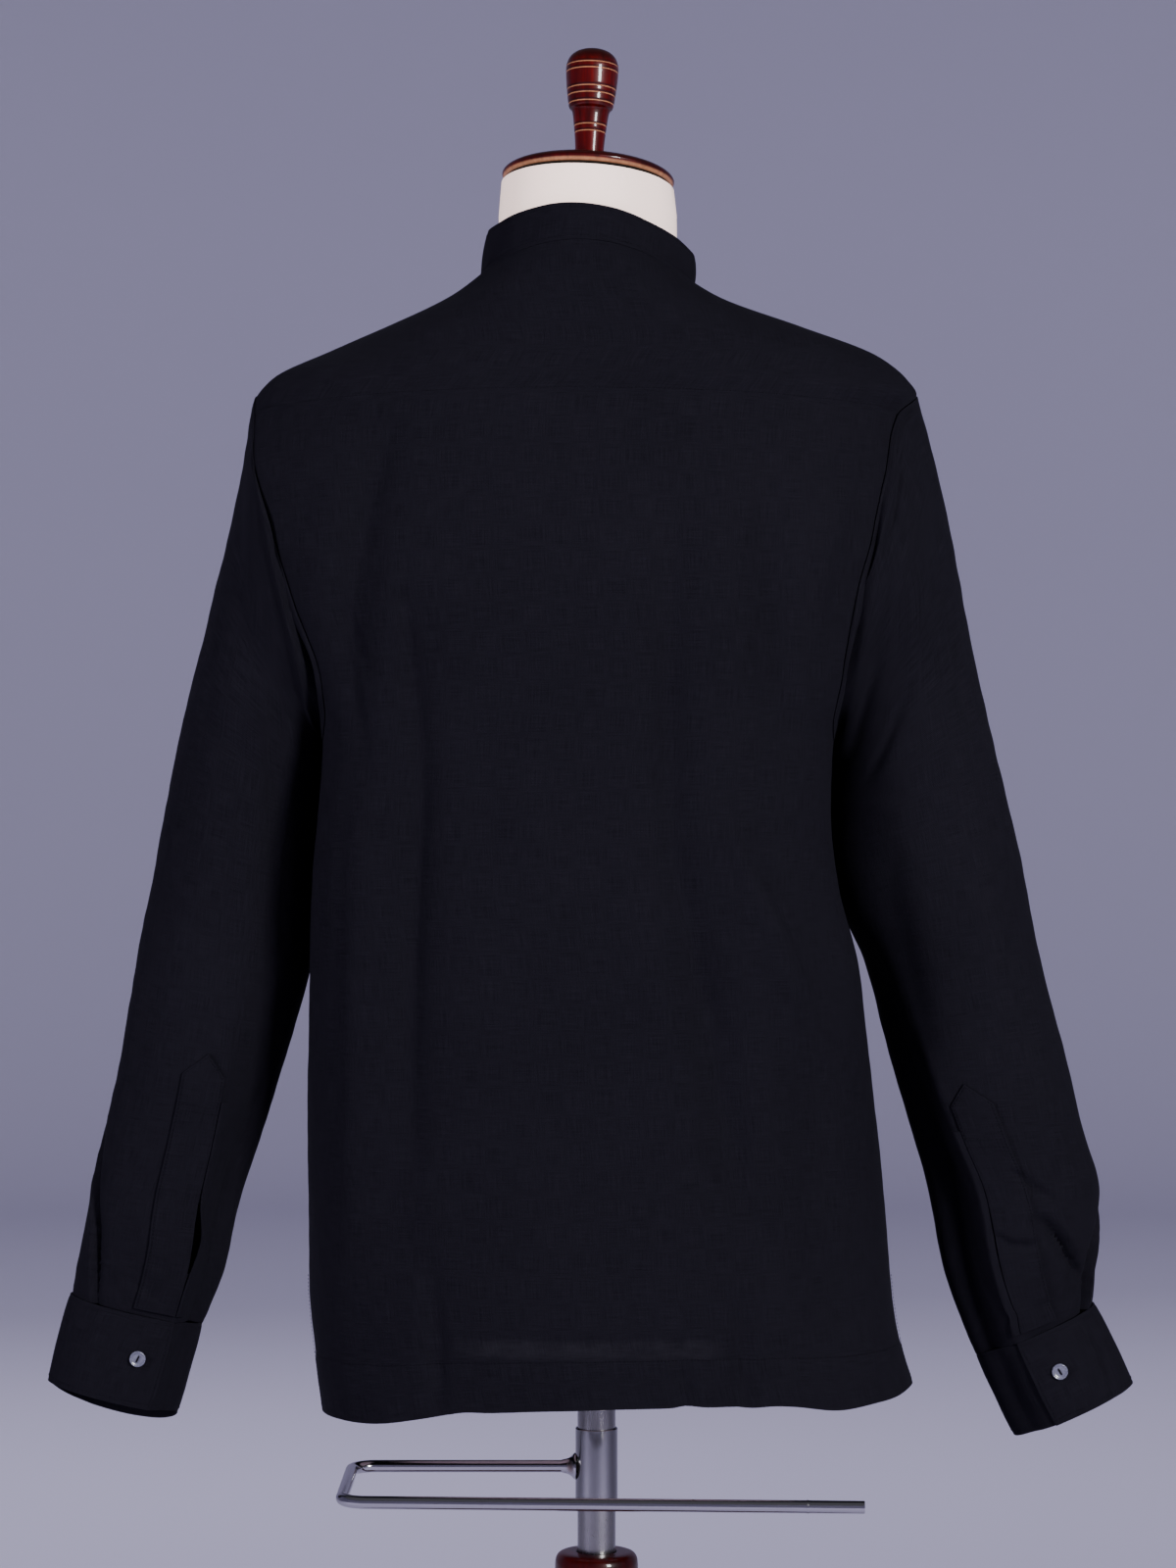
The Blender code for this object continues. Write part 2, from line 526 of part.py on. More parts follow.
def collar(finish):
    """The band collar: a strip once round the neck that laps over at the front."""
    start, end = -math.pi / 2 - COLLAR_OVERLAP, 1.5 * math.pi + COLLAR_OVERLAP
    turn = np.linspace(start, end, 37)
    lap = smooth_step((start + 2.6 * COLLAR_OVERLAP - turn) / (0.7 * COLLAR_OVERLAP))
    rise = np.linspace(0.0, 1.0, 4)[:, None]
    low = body_point(turn, NECK_LEVEL)
    x, y, z, _ = ring_point(COLLAR_TOP, turn)
    high = np.stack((x, y, z), axis=-1)
    out = np.stack((np.cos(turn), np.sin(turn), np.zeros_like(turn)), axis=-1)
    level = low + (high - low) * rise[..., None]
    level[..., 2] += GAP * 1.5 * (1 - rise)
    swell = 0.0012 * np.sin(math.pi * rise)[..., None]
    face = level + out * (swell + (lap * (DOUBLE_WALL + GAP))[None, :, None])
    return cloth_wall("collar", face, face - out * DOUBLE_WALL, finish)


def front_placket(finish):
    """The strip that covers the front opening, from the neck to the chest."""
    levels = np.linspace(FRONT_PLACKET_FOOT, NECK_LEVEL - 0.0006, 14)[:, None]
    across = FRONT_LINE + np.linspace(-0.5, 0.5, 5)[None, :] * FRONT_PLACKET_WIDTH
    return body_panel("front_placket", front_angle(across, levels), levels, finish, lift=WALL + 0.0010)


# ---------------------------------------------------------------- sleeves and cuffs
def arm_loop(turn, side):
    """The armhole seam: turn 0 is the shoulder tip, 90 degrees the back."""
    reach = np.where(np.sin(turn) > 0, BACK_REACH, FRONT_REACH)
    angle = reach * np.sin(turn)
    level = ARM_MIDDLE + ARM_HALF * np.cos(turn)
    angle = angle if side == "left" else math.pi - angle
    return body_point(angle, level), body_normal(angle, level)


def plain_ring(ring, turn, side):
    """One oval section of a sleeve or a cuff."""
    sign = 1.0 if side == "left" else -1.0
    outer = np.array((sign * ring.outer_x, 0.0, ring.outer_z))
    inner = np.array((sign * ring.inner_x, 0.0, ring.inner_z))
    cosine, sine = np.cos(turn), np.sin(turn)
    middle = (outer + inner) / 2
    depth = np.where(sine > 0, ring.back, ring.front)
    point = middle + (outer - inner) / 2 * rounded(cosine, 2.1)[..., None]
    point[..., 1] += ring.middle + depth * rounded(sine, 2.1)
    return point


def sleeve_rings(side):
    return LEFT_RINGS if side == "left" else RIGHT_RINGS


def sleeve_point(side, turn, run):
    """The sleeve's outer face: run 0 at the armhole, 1 at the cuff seam."""
    rings = sleeve_rings(side)
    places = np.linspace(0.0, 1.0, len(rings) + 1)
    turn, run = np.broadcast_arrays(np.asarray(turn, float), np.asarray(run, float))
    columns = {name: through(places[1:], [getattr(ring, name) for ring in rings], run)
               for name in Ring._fields}
    sign = 1.0 if side == "left" else -1.0
    cosine, sine = rounded(np.cos(turn), 2.1), rounded(np.sin(turn), 2.1)
    depth = np.where(sine > 0, columns["back"], columns["front"])
    to_outer, to_inner = (1 + cosine) / 2, (1 - cosine) / 2
    x = columns["outer_x"] * to_outer + columns["inner_x"] * to_inner
    z = columns["outer_z"] * to_outer + columns["inner_z"] * to_inner
    plain = np.stack((sign * x, columns["middle"] + depth * sine, z), axis=-1)
    loop, proud = arm_loop(turn, side)
    leave = smooth_step(run / places[3])[..., None]
    start = loop + proud * SEAM_STEP + (plain - sleeve_start(side, turn)) * (1 - leave)
    return start * (1 - leave) + plain * leave


def sleeve_start(side, turn):
    """The first plain section, which the armhole seam is blended into."""
    return plain_ring(sleeve_rings(side)[0], turn, side)


def sleeve_normal(side, turn, run):
    turn, run = np.broadcast_arrays(turn, run)
    step_round, step_down = math.radians(1.0), 0.004
    round_way = sleeve_point(side, turn + step_round, run) - sleeve_point(side, turn - step_round, run)
    lower, upper = np.minimum(run + step_down, 1.0), np.maximum(run - step_down, 0.0)
    down_way = sleeve_point(side, turn, lower) - sleeve_point(side, turn, upper)
    normal = unit(np.cross(round_way, down_way))
    return normal if side == "right" else -normal


def sleeve(side, finish):
    turn = np.arange(ROUND_COLUMNS) * STEP_ROUND
    places = len(sleeve_rings(side))
    run = np.concatenate((np.linspace(0.0, 2.0, 5), np.arange(3.0, places + 1)))[:, None] / places
    outer = sleeve_point(side, turn[None, :], run)
    inner = outer - sleeve_normal(side, turn[None, :], run) * WALL
    loop, loop_normal = arm_loop(turn, side)
    away = unit(outer[1] - outer[0])
    outer[0] = loop + loop_normal * SEAM_STEP + away * GAP * 1.6
    inner[0] = outer[0] - loop_normal * WALL
    outer[-1] += unit(outer[-2] - outer[-1]) * GAP
    inner[-1] += unit(inner[-2] - inner[-1]) * GAP
    return cloth_wall("sleeve_" + side, outer, inner, finish, wraps=True)


def cuff_point(side, turn, drop):
    """The cuff's middle face: drop 0 at its seam, 1 at its lower edge."""
    top = sleeve_rings(side)[-1]
    end = LEFT_CUFF_END if side == "left" else RIGHT_CUFF_END
    ring = Ring(*(a + (b - a) * drop for a, b in zip(top, end)))
    return plain_ring(ring, turn, side)


def cuff(side, finish):
    """A strip round the wrist whose outer end laps over by a hand's seam."""
    edge = CUFF_EDGE[side]
    turn = np.linspace(edge, edge - 2 * math.pi - CUFF_OVERLAP, 33)
    done = (edge - turn) / (2 * math.pi + CUFF_OVERLAP)
    out_by = 0.0011 - (DOUBLE_WALL + GAP) * smooth_step((done - 0.25) / 0.6)
    outer, inner = [], []
    for drop in np.linspace(0.0, 1.0, 4):
        face = cuff_point(side, turn, drop)
        middle = cuff_point(side, np.array((0.0, math.pi)), drop).mean(axis=0)
        away = unit(face - middle)
        outer.append(face + away * out_by[:, None])
        inner.append(outer[-1] - away * DOUBLE_WALL)
    return cloth_wall("cuff_" + side, np.array(outer), np.array(inner), finish)


def placket_grid(side, from_run, to_run, low_offset, high_offset, rows, columns):
    """Points over the sleeve between two offsets from the placket's middle line."""
    run = np.linspace(from_run, to_run, rows)
    tip = PLACKET_TIP_RUN[side]
    along = np.clip((run - tip) / (1 - tip), 0.0, 1.0)
    middle = PLACKET_MIDDLE_TOP[side] + along * (PLACKET_MIDDLE_LOW[side] - PLACKET_MIDDLE_TOP[side])
    narrow = np.clip((run - tip) / PLACKET_SHOULDER, 0.06, 1.0)
    here = sleeve_point(side, middle, run)
    beside = sleeve_point(side, middle + 0.01, run)
    per_metre = 0.01 / np.linalg.norm(beside - here, axis=-1)
    offset = np.linspace(low_offset, high_offset, columns)
    turn = middle[:, None] + offset[None, :] * (per_metre * narrow)[:, None]
    grid_run = np.broadcast_to(run[:, None], turn.shape)
    face = sleeve_point(side, turn, grid_run)
    normal = sleeve_normal(side, turn, grid_run)
    return face + normal * (PLACKET_LIFT + WALL), face + normal * PLACKET_LIFT


def sleeve_placket(side, finish):
    """The pointed strip over the sleeve's opening, down to the cuff."""
    tip = PLACKET_TIP_RUN[side]
    half = PLACKET_HALF_WIDTH
    point, point_inner = placket_grid(side, tip, PLACKET_END, -half, half, 2, 5)
    strip, strip_inner = placket_grid(side, tip + PLACKET_SHOULDER, PLACKET_END, -half, half, 10, 5)
    outer = np.concatenate((point[:1], strip))
    inner = np.concatenate((point_inner[:1], strip_inner))
    return cloth_wall("sleeve_placket_" + side, outer, inner, finish)


def under_placket(side, finish):
    """The narrow binding on the other edge of the sleeve's opening."""
    start = PLACKET_TIP_RUN[side] + 2.2 * PLACKET_SHOULDER
    near = PLACKET_HALF_WIDTH + GAP * 1.5
    outer, inner = placket_grid(side, start, PLACKET_END, near, near + UNDER_PLACKET_WIDTH, 9, 3)
    return cloth_wall("under_placket_" + side, outer, inner, finish)


def button(name, point, normal, finish):
    """A flat round button that lies on the cloth."""
    rim = BUTTON_RADIUS
    height = BUTTON_THICKNESS
    profile = ((0.0, 0.0), (rim * 0.80, 0.0), (rim, height * 0.42), (rim * 0.95, height),
               (rim * 0.72, height * 0.78), (0.0, height * 0.72))
    turn = Vector(normal).to_track_quat("Z", "Y").to_matrix().to_4x4()
    place = Matrix.Translation(Vector(point) + Vector(normal) * GAP) @ turn
    return turned(name, profile, finish, segments=12, place=place)


def cuff_button(side, finish):
    drop = CUFF_BUTTON_DROP
    turn = CUFF_BUTTON[side]
    step = math.radians(4.0)
    near = cuff_point(side, np.array((turn - step, turn, turn + step)), drop)
    below = cuff_point(side, np.array((turn,)), drop + 0.1)[0]
    normal = unit(np.cross(near[2] - near[0], below - near[1]))
    normal = normal if normal[1] > 0 else -normal
    face = near[1] + normal * 0.0013
    return button("cuff_button_" + side, face, normal, finish)


def front_buttons(finish):
    for number, level in enumerate(FRONT_BUTTON_LEVELS, start=1):
        angle = front_angle(FRONT_LINE, level)
        point = body_point(angle, level)
        normal = body_normal(angle, level)
        button(f"front_button_{number}", point + normal * (WALL + 0.0014), normal, finish)


def collar_button(finish):
    turn = np.array((-math.pi / 2,))
    low = body_point(turn, NECK_LEVEL)[0]
    x, y, z, _ = ring_point(COLLAR_TOP, turn)
    high = np.array((x[0], y[0], z[0]))
    out = np.array((0.0, -1.0, 0.0))
    rise = high - low
    normal = unit(out - rise * (out @ rise) / (rise @ rise))
    point = (low + high) / 2 + out * (0.0012 + DOUBLE_WALL + 2 * GAP)
    button("collar_button", point, normal, finish)


# ---------------------------------------------------------------- dress form and stand
def neck_frame():
    """Where the neck ends: its middle, with the lean of its upper end."""
    place = Matrix.Translation((NECK_CENTRE[0], NECK_CENTRE[1], NECK_TOP))
    lean = Matrix.Rotation(NECK_NOD, 4, "X") @ Matrix.Rotation(-NECK_ROLL, 4, "Y")
    return place @ lean


def form_torso(finish):
    """The cloth-covered torso, closed below, with its neck cut off at a slant."""
    segments = 28
    turn = np.arange(segments) * 2 * math.pi / segments
    cosine, sine = np.cos(turn), np.sin(turn)
    verts, faces = [], []
    for ring in FORM_RINGS:
        neck_share = smooth_step((ring.z - 1.30) / 0.15)
        square = 2.25 - 0.25 * neck_share
        depth = np.where(sine > 0, ring.back, ring.front)
        x = NECK_CENTRE[0] * neck_share + ring.half_width * rounded(cosine, square)
        z = ring.z - np.where(sine > 0, 0.0, ring.drop * sine * sine)
        verts.extend(zip(x, depth * rounded(sine, square), z))
    top = neck_frame()
    verts.extend(top @ Vector((NECK_TOP_RADIUS * c, NECK_TOP_RADIUS * s, 0.0)) for c, s in zip(cosine, sine))
    rows = len(FORM_RINGS) + 1
    for row in range(rows - 1):
        for step in range(segments):
            after = (step + 1) % segments
            low, high = row * segments, (row + 1) * segments
            faces.append((low + step, low + after, high + after, high + step))
    faces.append(tuple(range(segments)))
    faces.append(tuple((rows - 1) * segments + step for step in range(segments)))
    return link_mesh("form_torso", verts, faces, finish, smooth_angle=40)


def neck_cap_and_finial(finish):
    frame = neck_frame()
    turned("neck_cap", CAP_PROFILE, finish, segments=32, place=frame @ Matrix.Translation((0, 0, GAP)))
    middle = frame @ Vector((0.0, 0.0, CAP_PROFILE[-1][1] + 4 * GAP))
    lean = Matrix.Rotation(FINIAL_NOD, 4, "X") @ Matrix.Rotation(-FINIAL_ROLL, 4, "Y")
    stand = Matrix.Translation(middle) @ lean
    turned("finial", FINIAL_PROFILE, finish, segments=20, place=stand)


def pole_and_socket(steel, cream):
    top = FORM_UNDERSIDE - GAP
    turned("pole", ((0.0, POLE_FOOT), (POLE_RADIUS, POLE_FOOT), (POLE_RADIUS, top), (0.0, top)),
           steel, segments=28)
    bore, outer, flange = POLE_RADIUS + 0.0005, SOCKET_RADIUS, FLANGE_RADIUS
    profile = ((bore, SOCKET_FOOT), (outer - 0.001, SOCKET_FOOT), (outer, SOCKET_FOOT + 0.001),
               (outer, top - 0.013), (flange, top - 0.005), (flange, top), (bore, top))
    tube_of_revolution("form_socket", profile, cream, segments=28)
    seat = Matrix.Translation((-0.004, outer + GAP, KNOB_LEVEL))
    turned("lock_knob", KNOB_PROFILE, cream, segments=16, place=seat @ Matrix.Rotation(-math.pi / 2, 4, "X"))


def trouser_bar(chrome):
    """A chrome collar on the pole and the U-shaped rod welded to it."""
    bore, outer, edge = POLE_RADIUS + 0.0004, SLEEVE_RADIUS, 0.0008
    profile = ((bore, COLLAR_FOOT), (outer - edge, COLLAR_FOOT), (outer, COLLAR_FOOT + edge),
               (outer, COLLAR_HEAD - edge), (outer - edge, COLLAR_HEAD), (bore, COLLAR_HEAD))
    tube_of_revolution("bar_sleeve", profile, chrome, segments=28)
    weld = ((0.0, 1.6), (0.0032, 1.75), (0.0062, 1.5), (0.0092, 1.0), (0.0750, 1.0))
    points = [(outer + GAP + along, 0.0, ROD_LEVEL) for along, _ in weld]
    radii = [ROD_RADIUS * swell for _, swell in weld]
    bend_x = BAR_SIDE - ROD_CORNER
    for centre_y, start in ((ROD_CORNER, -math.pi / 2), (BAR_NEAR - ROD_CORNER, 0.0)):
        for angle in start + np.linspace(0.0, math.pi / 2, 7):
            around = (ROD_CORNER * math.cos(angle), ROD_CORNER * math.sin(angle))
            points.append((bend_x + around[0], centre_y + around[1], ROD_LEVEL))
    for share in (0.25, 0.5, 0.75, 1.0):
        points.append((bend_x + share * (BAR_END - bend_x), BAR_NEAR, ROD_LEVEL - BAR_SAG * share))
    radii += [ROD_RADIUS] * (len(points) - len(radii))
    bent_rod("trouser_bar", points, radii, chrome)


def wooden_stand(finish):
    """A turned column with a blind bore for the pole, on a plain round base."""
    bore, shaft, swell = POLE_RADIUS + 0.0006, COLUMN_RADIUS, COLUMN_FOOT_RADIUS
    foot, head = BASE_HEIGHT + GAP, COLUMN_TOP
    profile = ((0.0, foot), (swell - 0.003, foot), (swell, foot + 0.006), (swell - 0.003, foot + 0.014),
               (swell - 0.015, foot + 0.022), (shaft, foot + 0.040), (shaft, head - 0.016),
               (shaft, head - 0.006), (shaft - 0.002, head - 0.0015), (shaft - 0.006, head),
               (bore, head), (bore, BORE_FLOOR), (0.0, BORE_FLOOR))
    turned("column", profile, finish, segments=28)
    edge, crown = BASE_RADIUS, BASE_HEIGHT
    profile = ((0.0, 0.0), (edge - 0.003, 0.0), (edge, 0.003), (edge, 0.016), (edge - 0.004, 0.022),
               (edge - 0.012, 0.025), (edge - 0.030, 0.031), (edge - 0.045, crown), (0.0, crown))
    turned("base", profile, finish, segments=44)


def main():
    for old in list(bpy.data.objects):
        bpy.data.objects.remove(old, do_unlink=True)
    cloth = material("black_cotton", BLACK_CLOTH, 0.9)
    plastic = material("button_grey", BUTTON_GREY, 0.35)
    cream = material("cream_cloth", CREAM_CLOTH, 0.85)
    wood = material("mahogany", MAHOGANY, 0.25)
    steel = material("pole_steel", STEEL, 0.35, 1.0)
    chrome = material("bar_chrome", CHROME, 0.15, 1.0)

    back_panel(cloth)
    yoke(cloth)
    front_panel(cloth)
    front_placket(cloth)
    collar(cloth)
    for side in ("left", "right"):
        sleeve(side, cloth)
        sleeve_placket(side, cloth)
        under_placket(side, cloth)
        cuff(side, cloth)
        cuff_button(side, plastic)
    front_buttons(plastic)
    collar_button(plastic)

    form_torso(cream)
    neck_cap_and_finial(wood)
    pole_and_socket(steel, cream)
    trouser_bar(chrome)
    wooden_stand(wood)


main()
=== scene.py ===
# %% [markdown]
# # A short black kurta on a dress form
# The kurta is a loose cotton shirt with a band collar. It is sewn from flat pieces: a back,
# a front, a yoke over the shoulders, two sleeves with cuffs, and a few narrow strips.
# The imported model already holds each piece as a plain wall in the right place. This script
# gives every piece its folds, its stitches and its finish. The main sizes stay as they are,
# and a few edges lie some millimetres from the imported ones.

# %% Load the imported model
import math
from collections import namedtuple

import bmesh
import bpy
import numpy as np
from mathutils import Matrix, Vector


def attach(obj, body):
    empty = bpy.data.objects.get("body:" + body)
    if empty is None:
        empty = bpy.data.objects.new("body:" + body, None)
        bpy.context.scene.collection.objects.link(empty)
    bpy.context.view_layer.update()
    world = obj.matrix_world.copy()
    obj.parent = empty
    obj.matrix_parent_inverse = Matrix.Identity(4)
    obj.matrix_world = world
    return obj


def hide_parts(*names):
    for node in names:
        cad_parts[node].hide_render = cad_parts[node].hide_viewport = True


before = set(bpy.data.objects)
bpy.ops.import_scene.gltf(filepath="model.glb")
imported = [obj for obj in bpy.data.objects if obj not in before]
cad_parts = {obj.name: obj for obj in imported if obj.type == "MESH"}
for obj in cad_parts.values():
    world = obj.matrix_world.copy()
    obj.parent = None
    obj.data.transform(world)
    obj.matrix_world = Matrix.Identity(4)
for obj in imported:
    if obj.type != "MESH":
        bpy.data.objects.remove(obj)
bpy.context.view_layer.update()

# %% [markdown]
# ## Camera, floor and light
# The picture is taken from behind the garment at chest height with a long lens, so the
# sides stay almost upright. The floor curves up into the wall, as a paper roll does in a
# studio. A bowl that goes all the way round does the same for a camera on any side.
# Black cloth shows its folds by soft shading alone, so two large lamps stand on the camera's
# side, and sides that turn away from them go dark. A weaker one stands beyond the form, and
# four more face outwards, to the bowl.

# %% Camera
def add(name, data):
    """Put a mesh, a lamp or a lens into the scene as a new object."""
    made = bpy.data.objects.new(name, data)
    bpy.context.scene.collection.objects.link(made)
    return made


CAMERA_PLACE = (0.006, 2.607, 1.10)
LENS = 85.0
lens = bpy.data.cameras.new("camera")
lens.lens = LENS
lens.clip_end = 60.0
camera = add("camera", lens)
camera.location = CAMERA_PLACE
camera.rotation_euler = (math.radians(90), 0.0, math.radians(180))
bpy.context.scene.camera = camera
print("camera", CAMERA_PLACE, "lens", LENS)

# %% Lamps
def soft_lamp(name, place, aim, size, watts, mirrored=False):
    """An area lamp that looks at a point; only a mirrored one shows in glossy pieces."""
    light = bpy.data.lights.new(name, "AREA")
    light.shape = "RECTANGLE"
    light.size, light.size_y = size
    light.energy = watts
    lamp = add(name, light)
    lamp.location = place
    lamp.rotation_euler = (Vector(aim) - Vector(place)).to_track_quat("-Z", "Y").to_euler()
    lamp.visible_camera = False
    lamp.visible_glossy = mirrored


CHEST = (0.0, 0.0, 1.10)
AIR_COLOUR = (0.80, 0.80, 0.92, 1.0)
AIR_STRENGTH = 0.14
soft_lamp("key", (-2.1, 2.9, 2.0), CHEST, (0.7, 1.2), 270.0, True)
soft_lamp("fill", (3.0, 2.0, 1.7), CHEST, (1.0, 1.6), 190.0)
soft_lamp("far", (0.6, -3.6, 3.0), CHEST, (2.0, 1.4), 100.0)
for side in (-1, 1):
    for face in (-1, 1):
        soft_lamp("wall", (2.4 * side, 2.4 * face, 3.7), (6.0 * side, 9.0 * face, 0.6), (2.2, 1.6), 150.0)
world = bpy.data.worlds.new("studio_air")
world.use_nodes = True
air = world.node_tree.nodes["Background"].inputs
air["Color"].default_value = AIR_COLOUR
air["Strength"].default_value = AIR_STRENGTH
bpy.context.scene.world = world
print("lamps", [light.name for light in bpy.data.lights])

# %% [markdown]
# ## Finishes as expressions
# A finish is a small graph of nodes. Written as plain arithmetic it is far easier to read,
# so a little class wraps a socket and adds Math nodes when it meets a plus or a times.

# %% Node arithmetic
class Wire:
    """A node's output that takes part in Python arithmetic."""

    def __init__(self, finish, socket):
        self.finish = finish
        self.socket = socket

    def maths(self, operation, *values):
        return self.finish.node("ShaderNodeMath", {"operation": operation}, values)

    def __add__(self, other):
        return self.maths("ADD", self, other)

    def __sub__(self, other):
        return self.maths("SUBTRACT", self, other)

    def __rsub__(self, other):
        return self.maths("SUBTRACT", other, self)

    def __mul__(self, other):
        return self.maths("MULTIPLY", self, other)

    def __truediv__(self, other):
        return self.maths("DIVIDE", self, other)

    __radd__ = __add__
    __rmul__ = __mul__

    def cosine(self):
        return self.maths("COSINE", self)

    def size(self):
        return self.maths("ABSOLUTE", self)

    def between(self, low, high):
        """Ease from 0 to 1 as the value goes from low to high."""
        settings = {"interpolation_type": "SMOOTHSTEP"}
        return self.finish.node("ShaderNodeMapRange", settings, (self, low, high, 0.0, 1.0))


class Finish:
    """One material, with a single method that makes and feeds its nodes."""

    def __init__(self, name, **constants):
        self.material = bpy.data.materials.new(name)
        self.material.use_nodes = True
        self.tree = self.material.node_tree
        self.shader = self.tree.nodes["Principled BSDF"]
        self.feed(self.shader, {key.replace("_", " "): value for key, value in constants.items()})

    def feed(self, made, values):
        pairs = values.items() if isinstance(values, dict) else enumerate(values)
        for key, value in pairs:
            if isinstance(value, Wire):
                self.tree.links.new(value.socket, made.inputs[key])
            else:
                made.inputs[key].default_value = value

    def node(self, kind, settings, values, output=0):
        made = self.tree.nodes.new(kind)
        for key, value in settings.items():
            setattr(made, key, value)
        self.feed(made, values)
        return Wire(self, made.outputs[output])

    def surface(self, **wires):
        self.feed(self.shader, {key.replace("_", " "): value for key, value in wires.items()})
        return self.material

    def place(self):
        return self.node("ShaderNodeTexCoord", {}, {}, "Object")

    def cloth_place(self):
        return self.node("ShaderNodeUVMap", {"uv_map": "weave"}, {})

    def split(self, vector):
        first = self.node("ShaderNodeSeparateXYZ", {}, (vector,))
        sockets = first.socket.node.outputs
        return [Wire(self, socket) for socket in sockets]

    def stretch(self, vector, amounts):
        return self.node("ShaderNodeVectorMath", {"operation": "MULTIPLY"}, (vector, amounts))

    def noise(self, vector, scale, detail=2.0, roughness=0.5):
        values = {"Vector": vector, "Scale": scale, "Detail": detail, "Roughness": roughness}
        return self.node("ShaderNodeTexNoise", {}, values)

    def mix(self, mask, below, above):
        values = {0: mask, 6: below, 7: above}
        return self.node("ShaderNodeMix", {"data_type": "RGBA"}, values, 2)

    def bump(self, height, distance, strength=1.0):
        values = {"Strength": strength, "Distance": distance, "Height": height}
        return self.node("ShaderNodeBump", {}, values)


print("node arithmetic ready")

# %% [markdown]
# ## Black cotton
# The cloth is a plain weave: each thread goes over one and under the next. Two cosines
# multiplied give that chequered relief. Long thin noise along both directions is the slub
# of uneven yarn. The colour is a black that leans to violet, with a little sheen from loose
# fibres. The weave's coordinates are metres along the cloth, so it follows every fold. Just
# above the back's hem, a patchy lighter band is painted light shining through the single
# layer of cloth.

# %% Cotton finish
YARN = 0.00046             # spacing of the threads
BLACK = (0.0016, 0.0014, 0.0026, 1.0)
WORN_BLACK = (0.0056, 0.0050, 0.0080, 1.0)
# colour of the painted light shining through the single layer of cloth above the back's hem
THROUGH_WEAVE_LIGHT = (0.0092, 0.0084, 0.0118, 1.0)
SHEEN_TINT = (0.72, 0.72, 1.0, 1.0)


def cotton(name, through_weave_band=None):
    finish = Finish(name, Roughness=0.82, Specular_IOR_Level=0.03, Sheen_Weight=0.006,
                    Sheen_Roughness=0.45)
    finish.shader.inputs["Sheen Tint"].default_value = SHEEN_TINT
    along = finish.cloth_place()
    across, down, _ = finish.split(along)
    over_under = (across * (math.pi / YARN)).cosine() * (down * (math.pi / YARN)).cosine()
    warp = finish.noise(finish.stretch(along, (2600.0, 55.0, 1.0)), 1.0, 1.0)
    weft = finish.noise(finish.stretch(along, (55.0, 2600.0, 1.0)), 1.0, 1.0)
    cloudy = finish.noise(finish.place(), 9.0, 4.0, 0.6)
    slub = warp * 0.5 + weft * 0.5
    tone = slub * 0.9 + cloudy * 0.16 - 0.15
    colour = finish.mix(tone.between(0.05, 0.62), BLACK, WORN_BLACK)
    # A patchy band of painted light, as it shines through the thin cloth, lies above the back's hem
    if through_weave_band:
        x, y, z = finish.split(finish.place())
        patches = finish.noise(finish.place(), 60.0, 4.0, 0.7).between(0.25, 0.85)
        patchy = slub.between(0.30, 0.70) * 0.5 + patches
        edges = 1 - ((z - through_weave_band["level"]).size() / through_weave_band["half_height"]).between(0.35, 1.0)
        sides = 1 - ((x - through_weave_band["middle"]).size() / through_weave_band["half_width"]).between(0.7, 1.0)
        colour = finish.mix(edges * sides * patchy * y.between(0.05, 0.08) * 0.6, colour, THROUGH_WEAVE_LIGHT)
    relief = over_under * 0.35 + slub * 0.9
    return finish.surface(Base_Color=colour, Normal=finish.bump(relief, YARN * 0.5, 0.9))


# Where the painted light through the cloth lies: on the back, just above the hem, across its middle
THROUGH_WEAVE_BAND = {"level": 0.7200, "half_height": 0.0085, "middle": 0.0050, "half_width": 0.100}
black_cotton = cotton("black_cotton")
back_cotton = cotton("black_cotton_back", through_weave_band=THROUGH_WEAVE_BAND)
thread_black = Finish("sewing_thread", Base_Color=(0.0040, 0.0036, 0.0058, 1.0), Roughness=0.9,
                      Specular_IOR_Level=0.03).material
print("cotton, spacing of yarn", YARN)

# %% [markdown]
# ## The body's shape
# A shirt body is a tube that gets narrower towards the neck. Its shape is given as a table
# of ovals, one for each level, and a smooth curve is read through every column. The cloth's
# height is called its level, and its place round the body is an angle: 0 is the wearer's
# left side and 90 degrees is the middle of the back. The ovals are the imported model's, and
# the sags of the hem come on top.

# %% Sizes and section tables
WALL = 0.0011
DOUBLE_WALL = 0.0016
UNDERARM_LEVEL = 1.130
TIP_LEVEL = 1.3726
ARM_MIDDLE = (UNDERARM_LEVEL + TIP_LEVEL) / 2
ARM_HALF = (TIP_LEVEL - UNDERARM_LEVEL) / 2
BACK_REACH = math.radians(33)
FRONT_REACH = math.radians(35)
YOKE_TURN = math.radians(30)
YOKE_LEVEL = ARM_MIDDLE + ARM_HALF * math.cos(YOKE_TURN)
FRONT_SEAM_AT_NECK = math.radians(25)
SLIT_LEVEL = 0.755
SLIT_OPENING = math.radians(3.2)
HEM_STITCH_LEVEL = 0.7062
HEM_SAGS = (               # x, width and drop of each sag
    (0.152, 0.038, 0.0056), (0.090, 0.012, -0.0012), (-0.062, 0.008, -0.0012),
    (-0.104, 0.009, 0.0012), (-0.165, 0.026, 0.0050), (-0.222, 0.012, -0.0050),
)
SAG_TOP = HEM_STITCH_LEVEL + 0.024
SAG_EASE = 0.060           # over this height a sag grows to its full drop
FRONT_LINE = 0.0062
NECK_CENTRE = (0.0062, 0.0)


def table(kind, *rows):
    """Rows of numbers with a name for each column."""
    return [kind(*row) for row in rows]


